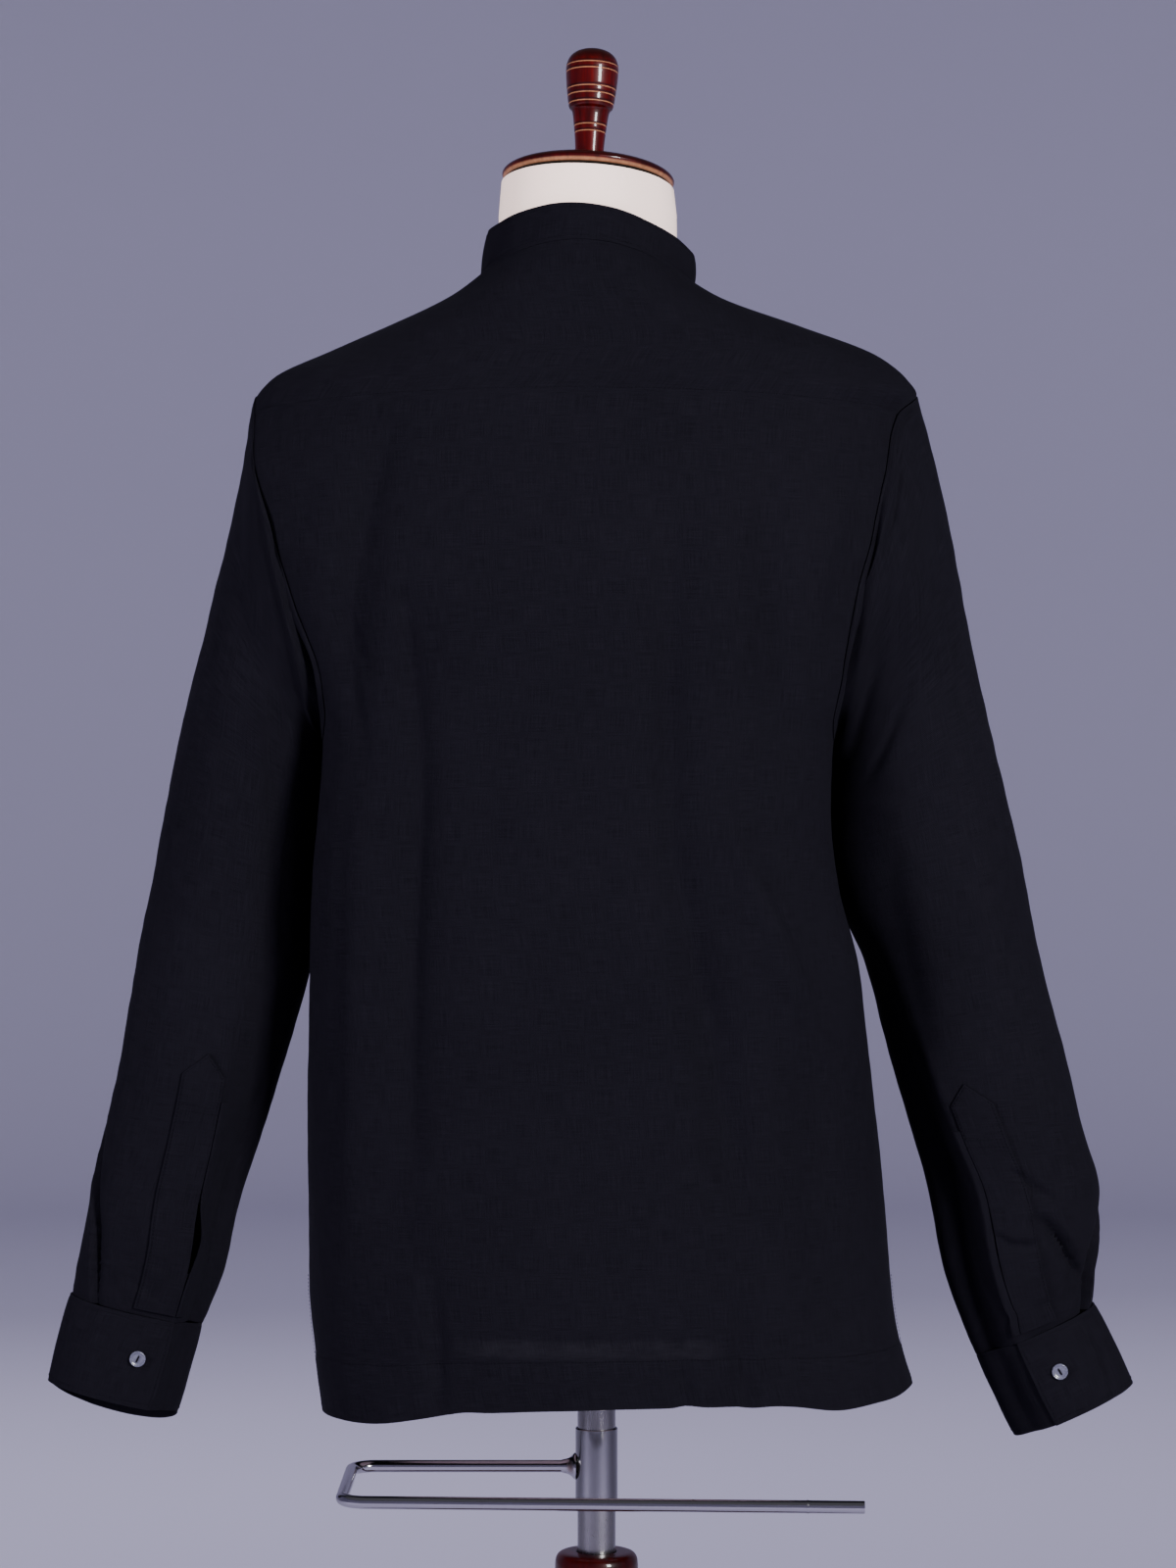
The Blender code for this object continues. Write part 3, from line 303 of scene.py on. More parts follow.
Girth = namedtuple("Girth", "level left right seam back front tilt back_lift front_lift square")
GIRTHS = table(
    Girth,
    (0.6700, 0.1925, 0.2210, 0.000, 0.122, 0.130, -0.006, 0.010, 0.004, 2.30),
    (0.7000, 0.1965, 0.2135, 0.000, 0.123, 0.131, -0.004, 0.007, 0.003, 2.30),
    (0.7500, 0.2013, 0.2070, 0.000, 0.124, 0.133, 0.000, 0.000, 0.000, 2.32),
    (0.8000, 0.2020, 0.2035, 0.000, 0.124, 0.134, 0.000, 0.000, 0.000, 2.34),
    (0.8810, 0.2027, 0.1940, 0.005, 0.124, 0.134, 0.000, 0.000, 0.000, 2.38),
    (0.9300, 0.2010, 0.1885, 0.015, 0.124, 0.134, 0.000, 0.000, 0.000, 2.44),
    (0.9750, 0.1995, 0.1820, 0.025, 0.1235, 0.134, 0.000, 0.000, 0.000, 2.50),
    (1.0300, 0.1970, 0.1680, 0.030, 0.123, 0.133, 0.000, 0.000, 0.000, 2.58),
    (1.0800, 0.1935, 0.1630, 0.028, 0.1225, 0.132, 0.000, 0.000, 0.000, 2.66),
    (1.1300, 0.1905, 0.1650, 0.018, 0.122, 0.132, 0.000, 0.000, 0.000, 2.70),
    (1.1740, 0.2056, 0.1836, 0.008, 0.1205, 0.131, 0.000, 0.001, -0.008, 2.60),
    (1.2294, 0.2388, 0.2088, 0.000, 0.118, 0.129, 0.000, 0.004, -0.022, 2.38),
    (1.2694, 0.2551, 0.2221, 0.000, 0.1135, 0.126, 0.000, 0.006, -0.035, 2.30),
    (1.3100, 0.2612, 0.2257, 0.000, 0.107, 0.121, 0.000, 0.008, -0.046, 2.25),
    (1.3563, 0.2468, 0.2178, 0.000, 0.098, 0.116, 0.000, 0.010, -0.056, 2.20),
    (1.3726, 0.2390, 0.2255, 0.000, 0.096, 0.113, 0.000, 0.005, -0.058, 2.18),
    (1.3850, 0.2260, 0.2185, 0.000, 0.094, 0.110, 0.001, 0.001, -0.058, 2.15),
    (1.4000, 0.1930, 0.2000, 0.000, 0.0915, 0.105, 0.001, -0.001, -0.056, 2.12),
    (1.4200, 0.1465, 0.1470, 0.000, 0.086, 0.096, 0.001, 0.003, -0.051, 2.10),
    (1.4380, 0.1055, 0.0950, 0.000, 0.079, 0.084, 0.002, 0.011, -0.046, 2.05),
    (1.4526, 0.0812, 0.0685, 0.000, 0.072, 0.072, 0.004, 0.0217, -0.040, 2.00),
)
GIRTH_LEVELS = [girth.level for girth in GIRTHS]
HEM_LEVEL, NECK_LEVEL = GIRTH_LEVELS[0], GIRTH_LEVELS[-1]
COLLAR_TOP = Girth(1.4790, 0.0755, 0.0692, 0.000, 0.0690, 0.069, 0.009, 0.019, -0.036, 2.00)
print("hem", HEM_LEVEL, "neck", NECK_LEVEL, "yoke seam", round(YOKE_LEVEL, 4))

# %% [markdown]
# ## Folds
# Loose cloth hangs in long shallow folds from the shoulder blades and gets short sharp
# creases where it was pressed or pulled. Each fold is a row here: a path over the cloth,
# a width, a depth (below 0 is a trough) and a step, which lifts one bank above the other
# as an overlapping pleat does. A crisp one comes to an edge. No two are alike, because real
# cloth never repeats itself.

# %% Fold tables
Crease = namedtuple("Crease", "path width depth step crisp", defaults=(0.0, False))
FOLD_GAIN = 1.35           # how much deeper the back's folds are than its table says
BACK_CREASES = table(
    Crease,
    (((0.150, 1.350), (0.178, 1.130)), 0.018, -0.0050),
    (((0.128, 1.230), (0.138, 0.760)), 0.020, -0.0060),
    (((0.165, 1.120), (0.172, 0.740)), 0.016, 0.0035),
    (((-0.050, 1.300), (-0.056, 1.000)), 0.022, -0.0045),
    (((-0.054, 1.060), (-0.106, 0.780)), 0.021, -0.0065),
    (((-0.084, 1.090), (-0.150, 0.900)), 0.017, 0.0050),
    (((-0.112, 1.340), (-0.128, 1.080)), 0.020, -0.0045),
    (((-0.135, 0.960), (-0.168, 0.700)), 0.018, -0.0045),
    (((0.138, 1.344), (0.163, 1.284), (0.174, 1.245), (0.180, 1.172)), 0.010, -0.0030, 0.0012),
    (((0.134, 1.258), (0.130, 1.199), (0.1245, 1.10), (0.131, 0.995), (0.134, 0.90), (0.126, 0.81)),
     0.009, -0.0026, 0.0014),
    (((0.1320, 1.235), (0.1283, 1.150)), 0.0040, -0.0012),
    (((0.1300, 1.005), (0.1350, 0.955), (0.1380, 0.900)), 0.0038, -0.0012),
    (((-0.053, 1.284), (-0.052, 1.166), (-0.055, 1.06), (-0.073, 0.981), (-0.0895, 0.902),
      (-0.1026, 0.805)), 0.010, -0.0030, -0.0014),
    (((-0.1075, 0.880), (-0.1058, 0.812)), 0.0045, 0.0016),
    (((-0.119, 1.330), (-0.116, 1.232), (-0.126, 1.153), (-0.1455, 1.10)), 0.011, -0.0024),
    (((-0.083, 1.075), (-0.119, 1.001), (-0.140, 0.943)), 0.0075, 0.0022),
    (((-0.099, 1.067), (-0.1355, 0.995), (-0.1586, 0.940)), 0.0070, -0.0022),
    (((0.1145, 0.782), (0.1113, 0.731), (0.1080, 0.640)), 0.0075, -0.0034, 0.0008),
    (((-0.0578, 0.718), (-0.0588, 0.640)), 0.0055, -0.0024),
    (((-0.0975, 0.760), (-0.1010, 0.640)), 0.0080, -0.0034, -0.0008),
    (((0.010, 0.790), (0.014, 0.640)), 0.0160, 0.0014),
    (((0.169, 1.126), (0.174, 1.034), (0.177, 0.902), (0.1785, 0.771)), 0.008, -0.0020),
    (((-0.178, 0.945), (-0.181, 0.870), (-0.188, 0.775)), 0.009, -0.0026),
    (((0.1815, 1.212), (0.1693, 1.166), (0.156, 1.103)), 0.0070, -0.0020),
    (((0.1925, 1.238), (0.174, 1.205), (0.150, 1.160)), 0.0060, -0.0016),
    (((-0.1790, 1.265), (-0.1665, 1.218), (-0.1500, 1.160)), 0.0080, -0.0022),
    (((-0.1880, 1.318), (-0.1717, 1.258), (-0.1580, 1.200)), 0.0065, -0.0018),
    (((0.105, 1.318), (0.020, 1.327), (-0.045, 1.318)), 0.0120, -0.0007),
    (((0.085, 1.150), (0.070, 1.020)), 0.0190, -0.0011),
    (((0.030, 1.240), (0.036, 0.960)), 0.0240, 0.0012),
    (((-0.012, 1.050), (-0.020, 0.780)), 0.0180, -0.0012),
)
FRONT_CREASES = table(
    Crease,
    (((0.120, 1.260), (0.150, 0.780)), 0.022, -0.0060),
    (((0.075, 1.120), (0.095, 0.720)), 0.020, 0.0045),
    (((-0.105, 1.280), (-0.118, 0.820)), 0.022, -0.0060),
    (((-0.060, 1.020), (-0.080, 0.700)), 0.018, -0.0045),
    (((-0.140, 1.180), (-0.165, 0.860)), 0.018, 0.0040),
    (((0.150, 1.315), (0.128, 1.230), (0.124, 1.130), (0.134, 1.010), (0.142, 0.880)),
     0.010, -0.0030, 0.0014),
    (((-0.140, 1.300), (-0.110, 1.200), (-0.104, 1.080), (-0.112, 0.930)), 0.010, -0.0028, -0.0014),
    (((0.182, 1.225), (0.160, 1.175), (0.140, 1.090)), 0.0075, -0.0022),
    (((0.190, 1.260), (0.165, 1.230), (0.132, 1.180)), 0.0065, -0.0018),
    (((-0.170, 1.235), (-0.150, 1.180), (-0.134, 1.100)), 0.0080, -0.0022),
    (((-0.180, 1.285), (-0.158, 1.230), (-0.138, 1.190)), 0.0065, -0.0016),
    (((0.006, 1.180), (0.014, 1.050), (0.034, 0.900), (0.044, 0.760)), 0.0110, -0.0026, 0.0010),
    (((-0.004, 1.165), (-0.030, 1.020), (-0.046, 0.880)), 0.0090, 0.0018),
    (((0.050, 1.170), (0.062, 1.040), (0.064, 0.930)), 0.0150, -0.0016),
    (((0.100, 0.790), (0.104, 0.640)), 0.0080, -0.0032),
    (((-0.028, 0.750), (-0.032, 0.640)), 0.0070, -0.0026),
    (((-0.125, 0.780), (-0.132, 0.640)), 0.0085, -0.0034),
    (((0.160, 0.960), (0.168, 0.800)), 0.0080, -0.0022),
)
print("creases on the back", len(BACK_CREASES), "and the front", len(FRONT_CREASES))

# %% Reading tables and measuring folds
def through(places, values, wanted):
    """Read a smooth curve through a table's values, with no overshoot between rows."""
    places = np.asarray(places, dtype=float)
    values = np.asarray(values, dtype=float)
    steps = np.diff(places)
    slopes = np.diff(values) / steps
    product = slopes[:-1] * slopes[1:]
    total = slopes[:-1] + slopes[1:]
    safe_total = np.where(product > 0, total, 1.0)
    tangents = np.empty_like(values)
    tangents[0], tangents[-1] = slopes[0], slopes[-1]
    tangents[1:-1] = np.where(product > 0, 2 * product / safe_total, 0.0)
    wanted = np.clip(wanted, places[0], places[-1])
    row = np.clip(np.searchsorted(places, wanted, side="right") - 1, 0, len(steps) - 1)
    part = (wanted - places[row]) / steps[row]
    rise = values[row + 1] - values[row]
    start, end = tangents[row] * steps[row], tangents[row + 1] * steps[row]
    bend = part * (part - 1)
    return values[row] + rise * part * part * (3 - 2 * part) + bend * ((part - 1) * start + part * end)


def read(rows, places, wanted, names):
    """Read the named columns of a table at the wanted places."""
    return {name: through(places, [getattr(row, name) for row in rows], wanted) for name in names}


def spread(*values):
    """The values as arrays of one shape."""
    return np.broadcast_arrays(*(np.asarray(value, float) for value in values))


def smooth_step(value):
    value = np.clip(value, 0.0, 1.0)
    return value * value * (3 - 2 * value)


def rounded(trig, square):
    """A sine or cosine bent towards a squarer oval."""
    return np.sign(trig) * np.abs(trig) ** (2.0 / square)


def unit(vectors):
    return vectors / np.maximum(np.linalg.norm(vectors, axis=-1, keepdims=True), 1e-12)


def crease_lift(u, v, creases, stretch=(1.0, 1.0)):
    """How far a set of creases moves the cloth at places (u, v), in metres."""
    lift = np.zeros_like(u)
    for crease in creases:
        path = np.array(crease.path) * stretch
        spans = np.diff(path, axis=0)
        lengths = np.hypot(spans[:, 0], spans[:, 1])
        best = np.full(u.shape, np.inf)
        along, bank = np.zeros_like(u), np.zeros_like(u)
        for number, (start, span, length) in enumerate(zip(path, spans, lengths)):
            part = ((u - start[0]) * span[0] + (v - start[1]) * span[1]) / length ** 2
            held = np.clip(part, 0.0, 1.0)
            side_u, side_v = u - start[0] - held * span[0], v - start[1] - held * span[1]
            away = np.hypot(side_u, side_v)
            closer = away < best
            best = np.where(closer, away, best)
            run = (lengths[:number].sum() + held * length) / lengths.sum()
            along = np.where(closer, run, along)
            bank = np.where(closer, np.sign(span[0] * side_v - span[1] * side_u), bank)
        fade = np.sin(math.pi * np.clip(along, 0.0, 1.0)) ** 0.8
        near = best / crease.width
        lift += crease.depth * fade * (np.exp(-near) if crease.crisp else np.exp(-near ** 2))
        if crease.step:
            bell = np.exp(-(best / (crease.width * 3.0)) ** 2)
            lift += crease.step * fade * bell * np.tanh(bank * best / (crease.width * 0.5))
    return lift


RIPPLE_WAVES = 6


def ripple(u, v, pitch, seed):
    """Soft uneven swells, from a few slanted waves with seeded directions."""
    chance = np.random.default_rng(seed)
    total = np.zeros_like(u)
    for _ in range(RIPPLE_WAVES):
        turn, phase, size = chance.uniform(0, math.pi), chance.uniform(0, 6.28), chance.uniform(0.6, 1.7)
        total += np.sin((u * math.cos(turn) + v * math.sin(turn)) * 2 * math.pi / (pitch * size) + phase)
    return total / RIPPLE_WAVES


print("a ripple at one place", ripple(np.array(0.1), 0.2, 0.05, 1).round(3))

# %% Points on the body's cloth
def ring_point(girth, angle):
    """A point on one oval section, given as a row of named sizes."""
    half = (girth.left + girth.right) / 2
    centre = (girth.left - girth.right) / 2
    cosine, sine = np.cos(angle), np.sin(angle)
    x = centre + half * rounded(cosine, girth.square)
    depth = np.where(sine > 0, girth.back - girth.seam, girth.front + girth.seam)
    y = girth.seam + depth * rounded(sine, girth.square)
    lift = np.where(sine > 0, girth.back_lift, girth.front_lift)
    z = girth.level + girth.tilt * cosine + lift * sine * sine
    low = smooth_step((SAG_TOP - girth.level) / SAG_EASE)
    for place, width, drop in HEM_SAGS:
        z = z - low * drop * np.exp(-((x - place) / width) ** 2)
    return x, y, z, sine


def body_point(angle, level):
    """The body's cloth with all its folds."""
    angle, level = spread(angle, level)
    columns = read(GIRTHS, GIRTH_LEVELS, level, Girth._fields[1:])
    x, y, z, sine = ring_point(Girth(level=level, **columns), angle)
    behind = np.clip(1.6 * sine, 0.0, 1.0)
    before = np.clip(-1.6 * sine, 0.0, 1.0)
    out = behind * FOLD_GAIN * crease_lift(x, level, BACK_CREASES)
    out = out + before * crease_lift(x, level, FRONT_CREASES)
    calm = smooth_step((NECK_LEVEL - level) / 0.06)
    out = out + calm * (0.0009 * ripple(x + y, level, 0.085, 4) + 0.0003 * ripple(x - y, level, 0.028, 9))
    return np.stack((x + out * np.cos(angle), y + out * sine, z), axis=-1)


def body_normal(angle, level):
    turn, rise = math.radians(0.5), 0.0015
    angle, level = spread(angle, level)
    upper = np.minimum(level + rise, NECK_LEVEL)
    lower = np.maximum(level - rise, HEM_LEVEL)
    round_way = body_point(angle + turn, level) - body_point(angle - turn, level)
    up_way = body_point(angle, upper) - body_point(angle, lower)
    return unit(np.cross(round_way, up_way))


def front_angle(x, level):
    """Angle at which the front of the body's section has a wanted x."""
    left, right, square = read(GIRTHS, GIRTH_LEVELS, level, ("left", "right", "square")).values()
    share = (x - (left - right) / 2) / ((left + right) / 2)
    return -np.arccos(np.sign(share) * np.abs(share) ** (square / 2))


print("middle of the back at the chest", body_point(math.pi / 2, 1.2).round(4))

# %% [markdown]
# ## Turning a grid of points into cloth
# Every piece of cloth is a grid of points. A second grid lies a cloth's thickness inside
# it, and the rims are closed, so the piece is a real thin shell. The grid's own distances
# become the weave's coordinates. Shading is smooth, and sharp only along the cut rims.

# %% Cloth shells
pieces, sizes = {}, {}


def settle(name, mesh, finish, sharp_degrees):
    """Turn a mesh's faces outwards, shade it, give it its finish and add it to the scene."""
    work = bmesh.new()
    work.from_mesh(mesh)
    loose = [vert for vert in work.verts if not vert.link_faces]
    bmesh.ops.delete(work, geom=loose, context="VERTS")
    bmesh.ops.recalc_face_normals(work, faces=work.faces)
    work.to_mesh(mesh)
    work.free()
    mesh.shade_smooth()
    mesh.set_sharp_from_angle(angle=math.radians(sharp_degrees))
    mesh.materials.append(finish)
    return add(name, mesh)


def cloth_shell(name, outer, out, finish=black_cotton, thick=WALL, wraps=False, kept=None):
    """Close the space between a grid and its inner side, and give the piece its weave."""
    inner = outer - out * thick
    rows, columns = outer.shape[:2]
    inside = rows * columns
    spans = columns if wraps else columns - 1
    kept = np.ones((rows - 1, spans), dtype=bool) if kept is None else kept
    row, column = np.nonzero(kept)
    ahead = (column + 1) % columns
    quads = np.stack((row * columns + column, row * columns + ahead,
                      (row + 1) * columns + ahead, (row + 1) * columns + column), axis=-1)
    above_below = np.pad(kept, ((1, 1), (0, 0)))
    left_right = np.hstack((kept[:, -1:], kept)) if wraps else np.pad(kept, ((0, 0), (1, 1)))
    row, column = np.nonzero(above_below[1:] != above_below[:-1])
    a, b = row * columns + column, row * columns + (column + 1) % columns
    row, column = np.nonzero(left_right[:, 1:] != left_right[:, :-1])
    a = np.concatenate((a, row * columns + column))
    b = np.concatenate((b, (row + 1) * columns + column))
    rims = np.stack((a, a + inside, b + inside, b), axis=-1)
    faces = np.concatenate((quads, quads[:, ::-1] + inside, rims))
    verts = np.concatenate((outer.reshape(-1, 3), inner.reshape(-1, 3)))
    mesh = bpy.data.meshes.new(name)
    mesh.from_pydata(verts.tolist(), [], faces.tolist())
    ring = np.hstack((outer, outer[:, :1])) if wraps else outer
    across = np.cumsum(np.linalg.norm(np.diff(ring, axis=1, prepend=ring[:, :1]), axis=-1), axis=1)
    across = across - (0.0 if wraps else across[:, columns // 2, None])
    down = np.linalg.norm(np.diff(outer, axis=0, prepend=outer[:1]), axis=-1)[:, columns // 2]
    along = np.cumsum(down)
    row, place = faces % inside // columns, faces % inside % columns
    past_end = wraps & (place == 0) & (place == columns - 1).any(axis=1, keepdims=True)
    weave = np.stack((across[row, place + columns * past_end], along[row]), axis=-1)
    mesh.uv_layers.new(name="weave").data.foreach_set("uv", weave.reshape(-1))
    pieces[name] = settle(name, mesh, finish, 52)
    one, two = outer[:-1, 1:] - outer[:-1, :-1], outer[1:, :-1] - outer[:-1, :-1]
    area = float(np.linalg.norm(np.cross(one, two), axis=-1).sum())
    if wraps:
        one, two = outer[:-1, 0] - outer[:-1, -1], outer[1:, -1] - outer[:-1, -1]
        area += float(np.linalg.norm(np.cross(one, two), axis=-1).sum())
    width = np.linalg.norm(np.diff(outer, axis=1), axis=-1).sum(axis=1)
    length = np.linalg.norm(np.diff(outer, axis=0), axis=-1).sum(axis=0)
    sizes[name] = (round(float(width.max()), 3), round(float(length.max()), 3), round(area, 4))
    print(name, "flat width, length and area", sizes[name], "faces", len(faces))

# %% [markdown]
# ## Back, front and yoke
# The back hangs from the yoke seam, and the front runs on up to the neck. Rows of the grid
# follow the cloth's level. Near an armhole the rows end on the armhole's oval, so both the
# body and the sleeve can be sewn to the same curve. Rows lie closer together there.
# Along a seam the cloth dips a little, because the stitches pull it down.

# %% Panels of the body
LOW_ROWS = 130
ARM_ROWS = 74
BACK_COLUMNS = 171
FRONT_COLUMNS = 151
YOKE_ROWS = 34
YOKE_DIP = 0.0002
SIDE_DIP = 0.0004
HEM_PROUD = 0.0008
PANEL_DIPS = {"last_row": YOKE_DIP, "first_column": SIDE_DIP, "last_column": SIDE_DIP}


def arm_angle(level, reach):
    """Angle from the side to the armhole seam: an oval over the level."""
    part = (np.asarray(level, dtype=float) - ARM_MIDDLE) / ARM_HALF
    return reach * np.sqrt(np.clip(1 - part * part, 0.0, 1.0))


def panel_levels(top_rows):
    low = np.linspace(HEM_LEVEL, UNDERARM_LEVEL, LOW_ROWS)[:-1]
    arm = ARM_MIDDLE - ARM_HALF * np.cos(np.linspace(0.0, math.pi - YOKE_TURN, ARM_ROWS))
    upper = np.linspace(YOKE_LEVEL, NECK_LEVEL, top_rows)[1:] if top_rows else []
    return np.concatenate((low, arm, upper))


def edge_angles(levels, reach, yoke_edge):
    """Angle from the side line to a panel's edge on each row."""
    slit = SLIT_OPENING * smooth_step((SLIT_LEVEL - levels) / (SLIT_LEVEL - HEM_LEVEL))
    climb = np.clip((levels - YOKE_LEVEL) / (NECK_LEVEL - YOKE_LEVEL), 0.0, 1.0)
    at_yoke = arm_angle(YOKE_LEVEL, reach)
    above = at_yoke + climb * (yoke_edge - at_yoke)
    return np.where(levels > YOKE_LEVEL + 1e-6, above, arm_angle(levels, reach) + slit)


def seam_dip(grid, normal, edges, reach=0.0030):
    """Pull the named edges of a panel down by their own depths, over a few millimetres."""
    rows = np.linalg.norm(np.diff(grid, axis=0), axis=-1).mean(axis=1)
    columns = np.linalg.norm(np.diff(grid, axis=1), axis=-1).mean(axis=0)
    down = np.concatenate(([0.0], np.cumsum(rows)))[:, None]
    across = np.concatenate(([0.0], np.cumsum(columns)))[None, :]
    away = {"first_row": down, "last_row": down[-1] - down, "first_column": across,
            "last_column": across[:, -1:] - across}
    dip = sum(depth * np.exp(-(away[edge] / reach) ** 2) for edge, depth in edges.items())
    return grid - normal * dip[..., None]


def body_piece(name, angle, level, finish, dips, lift=0.0):
    face = body_point(angle, level)
    normal = body_normal(angle, level)
    cloth_shell(name, seam_dip(face + normal * lift, normal, dips), normal, finish)


def hem_lift(level):
    """The hem is folded under twice: it stands out below its stitches."""
    return HEM_PROUD * smooth_step((HEM_STITCH_LEVEL - level) / 0.003)


levels = panel_levels(0)
edges = edge_angles(levels, BACK_REACH, 0.0)
across = np.linspace(0.0, 1.0, BACK_COLUMNS)
angle = edges[:, None] + (math.pi - 2 * edges)[:, None] * across[None, :]
body_piece("back_cloth", angle, levels[:, None], back_cotton, PANEL_DIPS,
           hem_lift(levels)[:, None, None])

levels = panel_levels(YOKE_ROWS)
edges = edge_angles(levels, FRONT_REACH, FRONT_SEAM_AT_NECK)
across = np.linspace(0.0, 1.0, FRONT_COLUMNS)
angle = -edges[:, None] - (math.pi - 2 * edges)[:, None] * across[None, :]
body_piece("front_cloth", angle[:, ::-1], levels[:, None], black_cotton, PANEL_DIPS,
           hem_lift(levels)[:, None, None])

# %% The yoke wraps over both shoulders
def yoke_grid():
    """Angles and levels from the yoke seams up to the neck."""
    turns = np.linspace(-YOKE_TURN, YOKE_TURN, 27)
    reach = np.where(turns > 0, BACK_REACH, FRONT_REACH)
    left_angle = reach * np.sin(turns)
    left_level = ARM_MIDDLE + ARM_HALF * np.cos(turns)
    seam_start = left_angle[-1]
    back_angle = np.linspace(seam_start, math.pi - seam_start, 140)[1:-1]
    outer_angle = np.concatenate((left_angle, back_angle, math.pi - left_angle[::-1]))
    outer_level = np.concatenate((left_level, np.full(len(back_angle), YOKE_LEVEL), left_level[::-1]))
    narrow = FRONT_SEAM_AT_NECK / arm_angle(YOKE_LEVEL, FRONT_REACH)
    inner_angle = np.where(outer_angle < 0, outer_angle * narrow, outer_angle)
    past = outer_angle > math.pi
    inner_angle[past] = math.pi + (outer_angle[past] - math.pi) * narrow
    climb = np.linspace(0.0, 1.0, YOKE_ROWS)[:, None]
    angle = outer_angle + climb * (inner_angle - outer_angle)
    return angle, outer_level + climb * (NECK_LEVEL - outer_level)


body_piece("yoke_cloth", *yoke_grid(), black_cotton, {"first_row": YOKE_DIP})

# %% [markdown]
# ## Band collar
# The collar is a double strip that stands up round the neck and laps over at the front.
# Its upper corners are rounded off at the front. Two layers and a stiffening make it hold
# its shape, so it has no folds, only a slight swell between its stitched edges.

# %% Collar
COLLAR_OVERLAP = math.radians(10)
COLLAR_ROWS = 22
COLLAR_COLUMNS = 261
COLLAR_REACH = 0.070       # metres for one radian round the neck
COLLAR_CORNER = 0.011
COLLAR_SWELL = 0.0011
LIP_HEIGHT = 0.004         # the lower edge turns out and down over this height
LIP_DROP = 0.0012
LIP_OUT = 0.0011
LAYER_GAP = 0.0005         # air between two layers that lap over
start, end = -math.pi / 2 - COLLAR_OVERLAP, 1.5 * math.pi + COLLAR_OVERLAP


def collar_face(turn, rise, lift=0.0):
    """The collar's outer face: rise 0 at the neck seam, 1 at its upper edge."""
    turn, rise = spread(turn, rise)
    lap = smooth_step((start + 2.6 * COLLAR_OVERLAP - turn) / (0.7 * COLLAR_OVERLAP))
    low = body_point(turn, NECK_LEVEL)
    x, y, z, _ = ring_point(COLLAR_TOP, turn)
    high = np.stack((x, y, z), axis=-1)
    out = np.stack((np.cos(turn), np.sin(turn), np.zeros_like(turn)), axis=-1)
    end_distance = np.minimum(turn - start, end - turn) * COLLAR_REACH
    corner = COLLAR_CORNER * np.clip(1 - end_distance / COLLAR_CORNER, 0.0, 1.0) ** 2.2
    height = np.linalg.norm(high - low, axis=-1)
    climb = rise * (1 - corner / height)
    face = low + (high - low) * climb[..., None]
    lip = np.clip(1 - rise * height / LIP_HEIGHT, 0.0, 1.0) ** 2
    face[..., 2] -= LIP_DROP * lip
    edge = np.minimum(rise, 1 - rise) * height
    swell = COLLAR_SWELL * np.sin(math.pi * rise) + 0.0003 * smooth_step((edge - 0.0022) / 0.002)
    uneven = 0.0007 * np.sin(turn * 5.0 + 1.0) * rise + 0.0004 * np.sin(turn * 11.0) * rise
    swell = swell + LIP_OUT * lip + uneven
    return face + out * (swell + lap * (DOUBLE_WALL + LAYER_GAP) + lift)[..., None], out


turn = np.linspace(start, end, COLLAR_COLUMNS)[None, :]
rise = np.linspace(0.0, 1.0, COLLAR_ROWS)[:, None]
face, out = collar_face(turn, rise)
cloth_shell("collar_cloth", face, out, thick=DOUBLE_WALL)

# %% [markdown]
# ## Front placket
# Kurtas open only part of the way down. A straight strip with buttons covers the slit.

# %% Front placket
PLACKET_WIDTH = 0.032
PLACKET_FOOT = 1.185
PLACKET_PROUD = WALL + 0.0011
levels = np.linspace(PLACKET_FOOT, NECK_LEVEL - 0.0006, 130)[:, None]
across = FRONT_LINE + np.linspace(-0.5, 0.5, 21)[None, :] * PLACKET_WIDTH
angle = front_angle(across, levels)
face, normal = body_point(angle, levels), body_normal(angle, levels)
rim = np.minimum(across - across.min(), across.max() - across)
crown = 0.0004 * smooth_step(rim / 0.003)
face = face + normal * (PLACKET_PROUD - 0.0002 + crown)[..., None]
cloth_shell("front_placket_cloth", face, normal)

# %% [markdown]
# ## Sleeves
# A sleeve is one piece, joined under the arm. Here it is a tube of ovals that starts on the
# armhole's curve. The place round the sleeve is called its turn: 0 is the outer edge, 90
# degrees the back. Run goes from 0 at the armhole to 1 at the cuff. An empty sleeve falls
# in long flat sides, with pulls below the armhole and pleats where it meets the cuff.

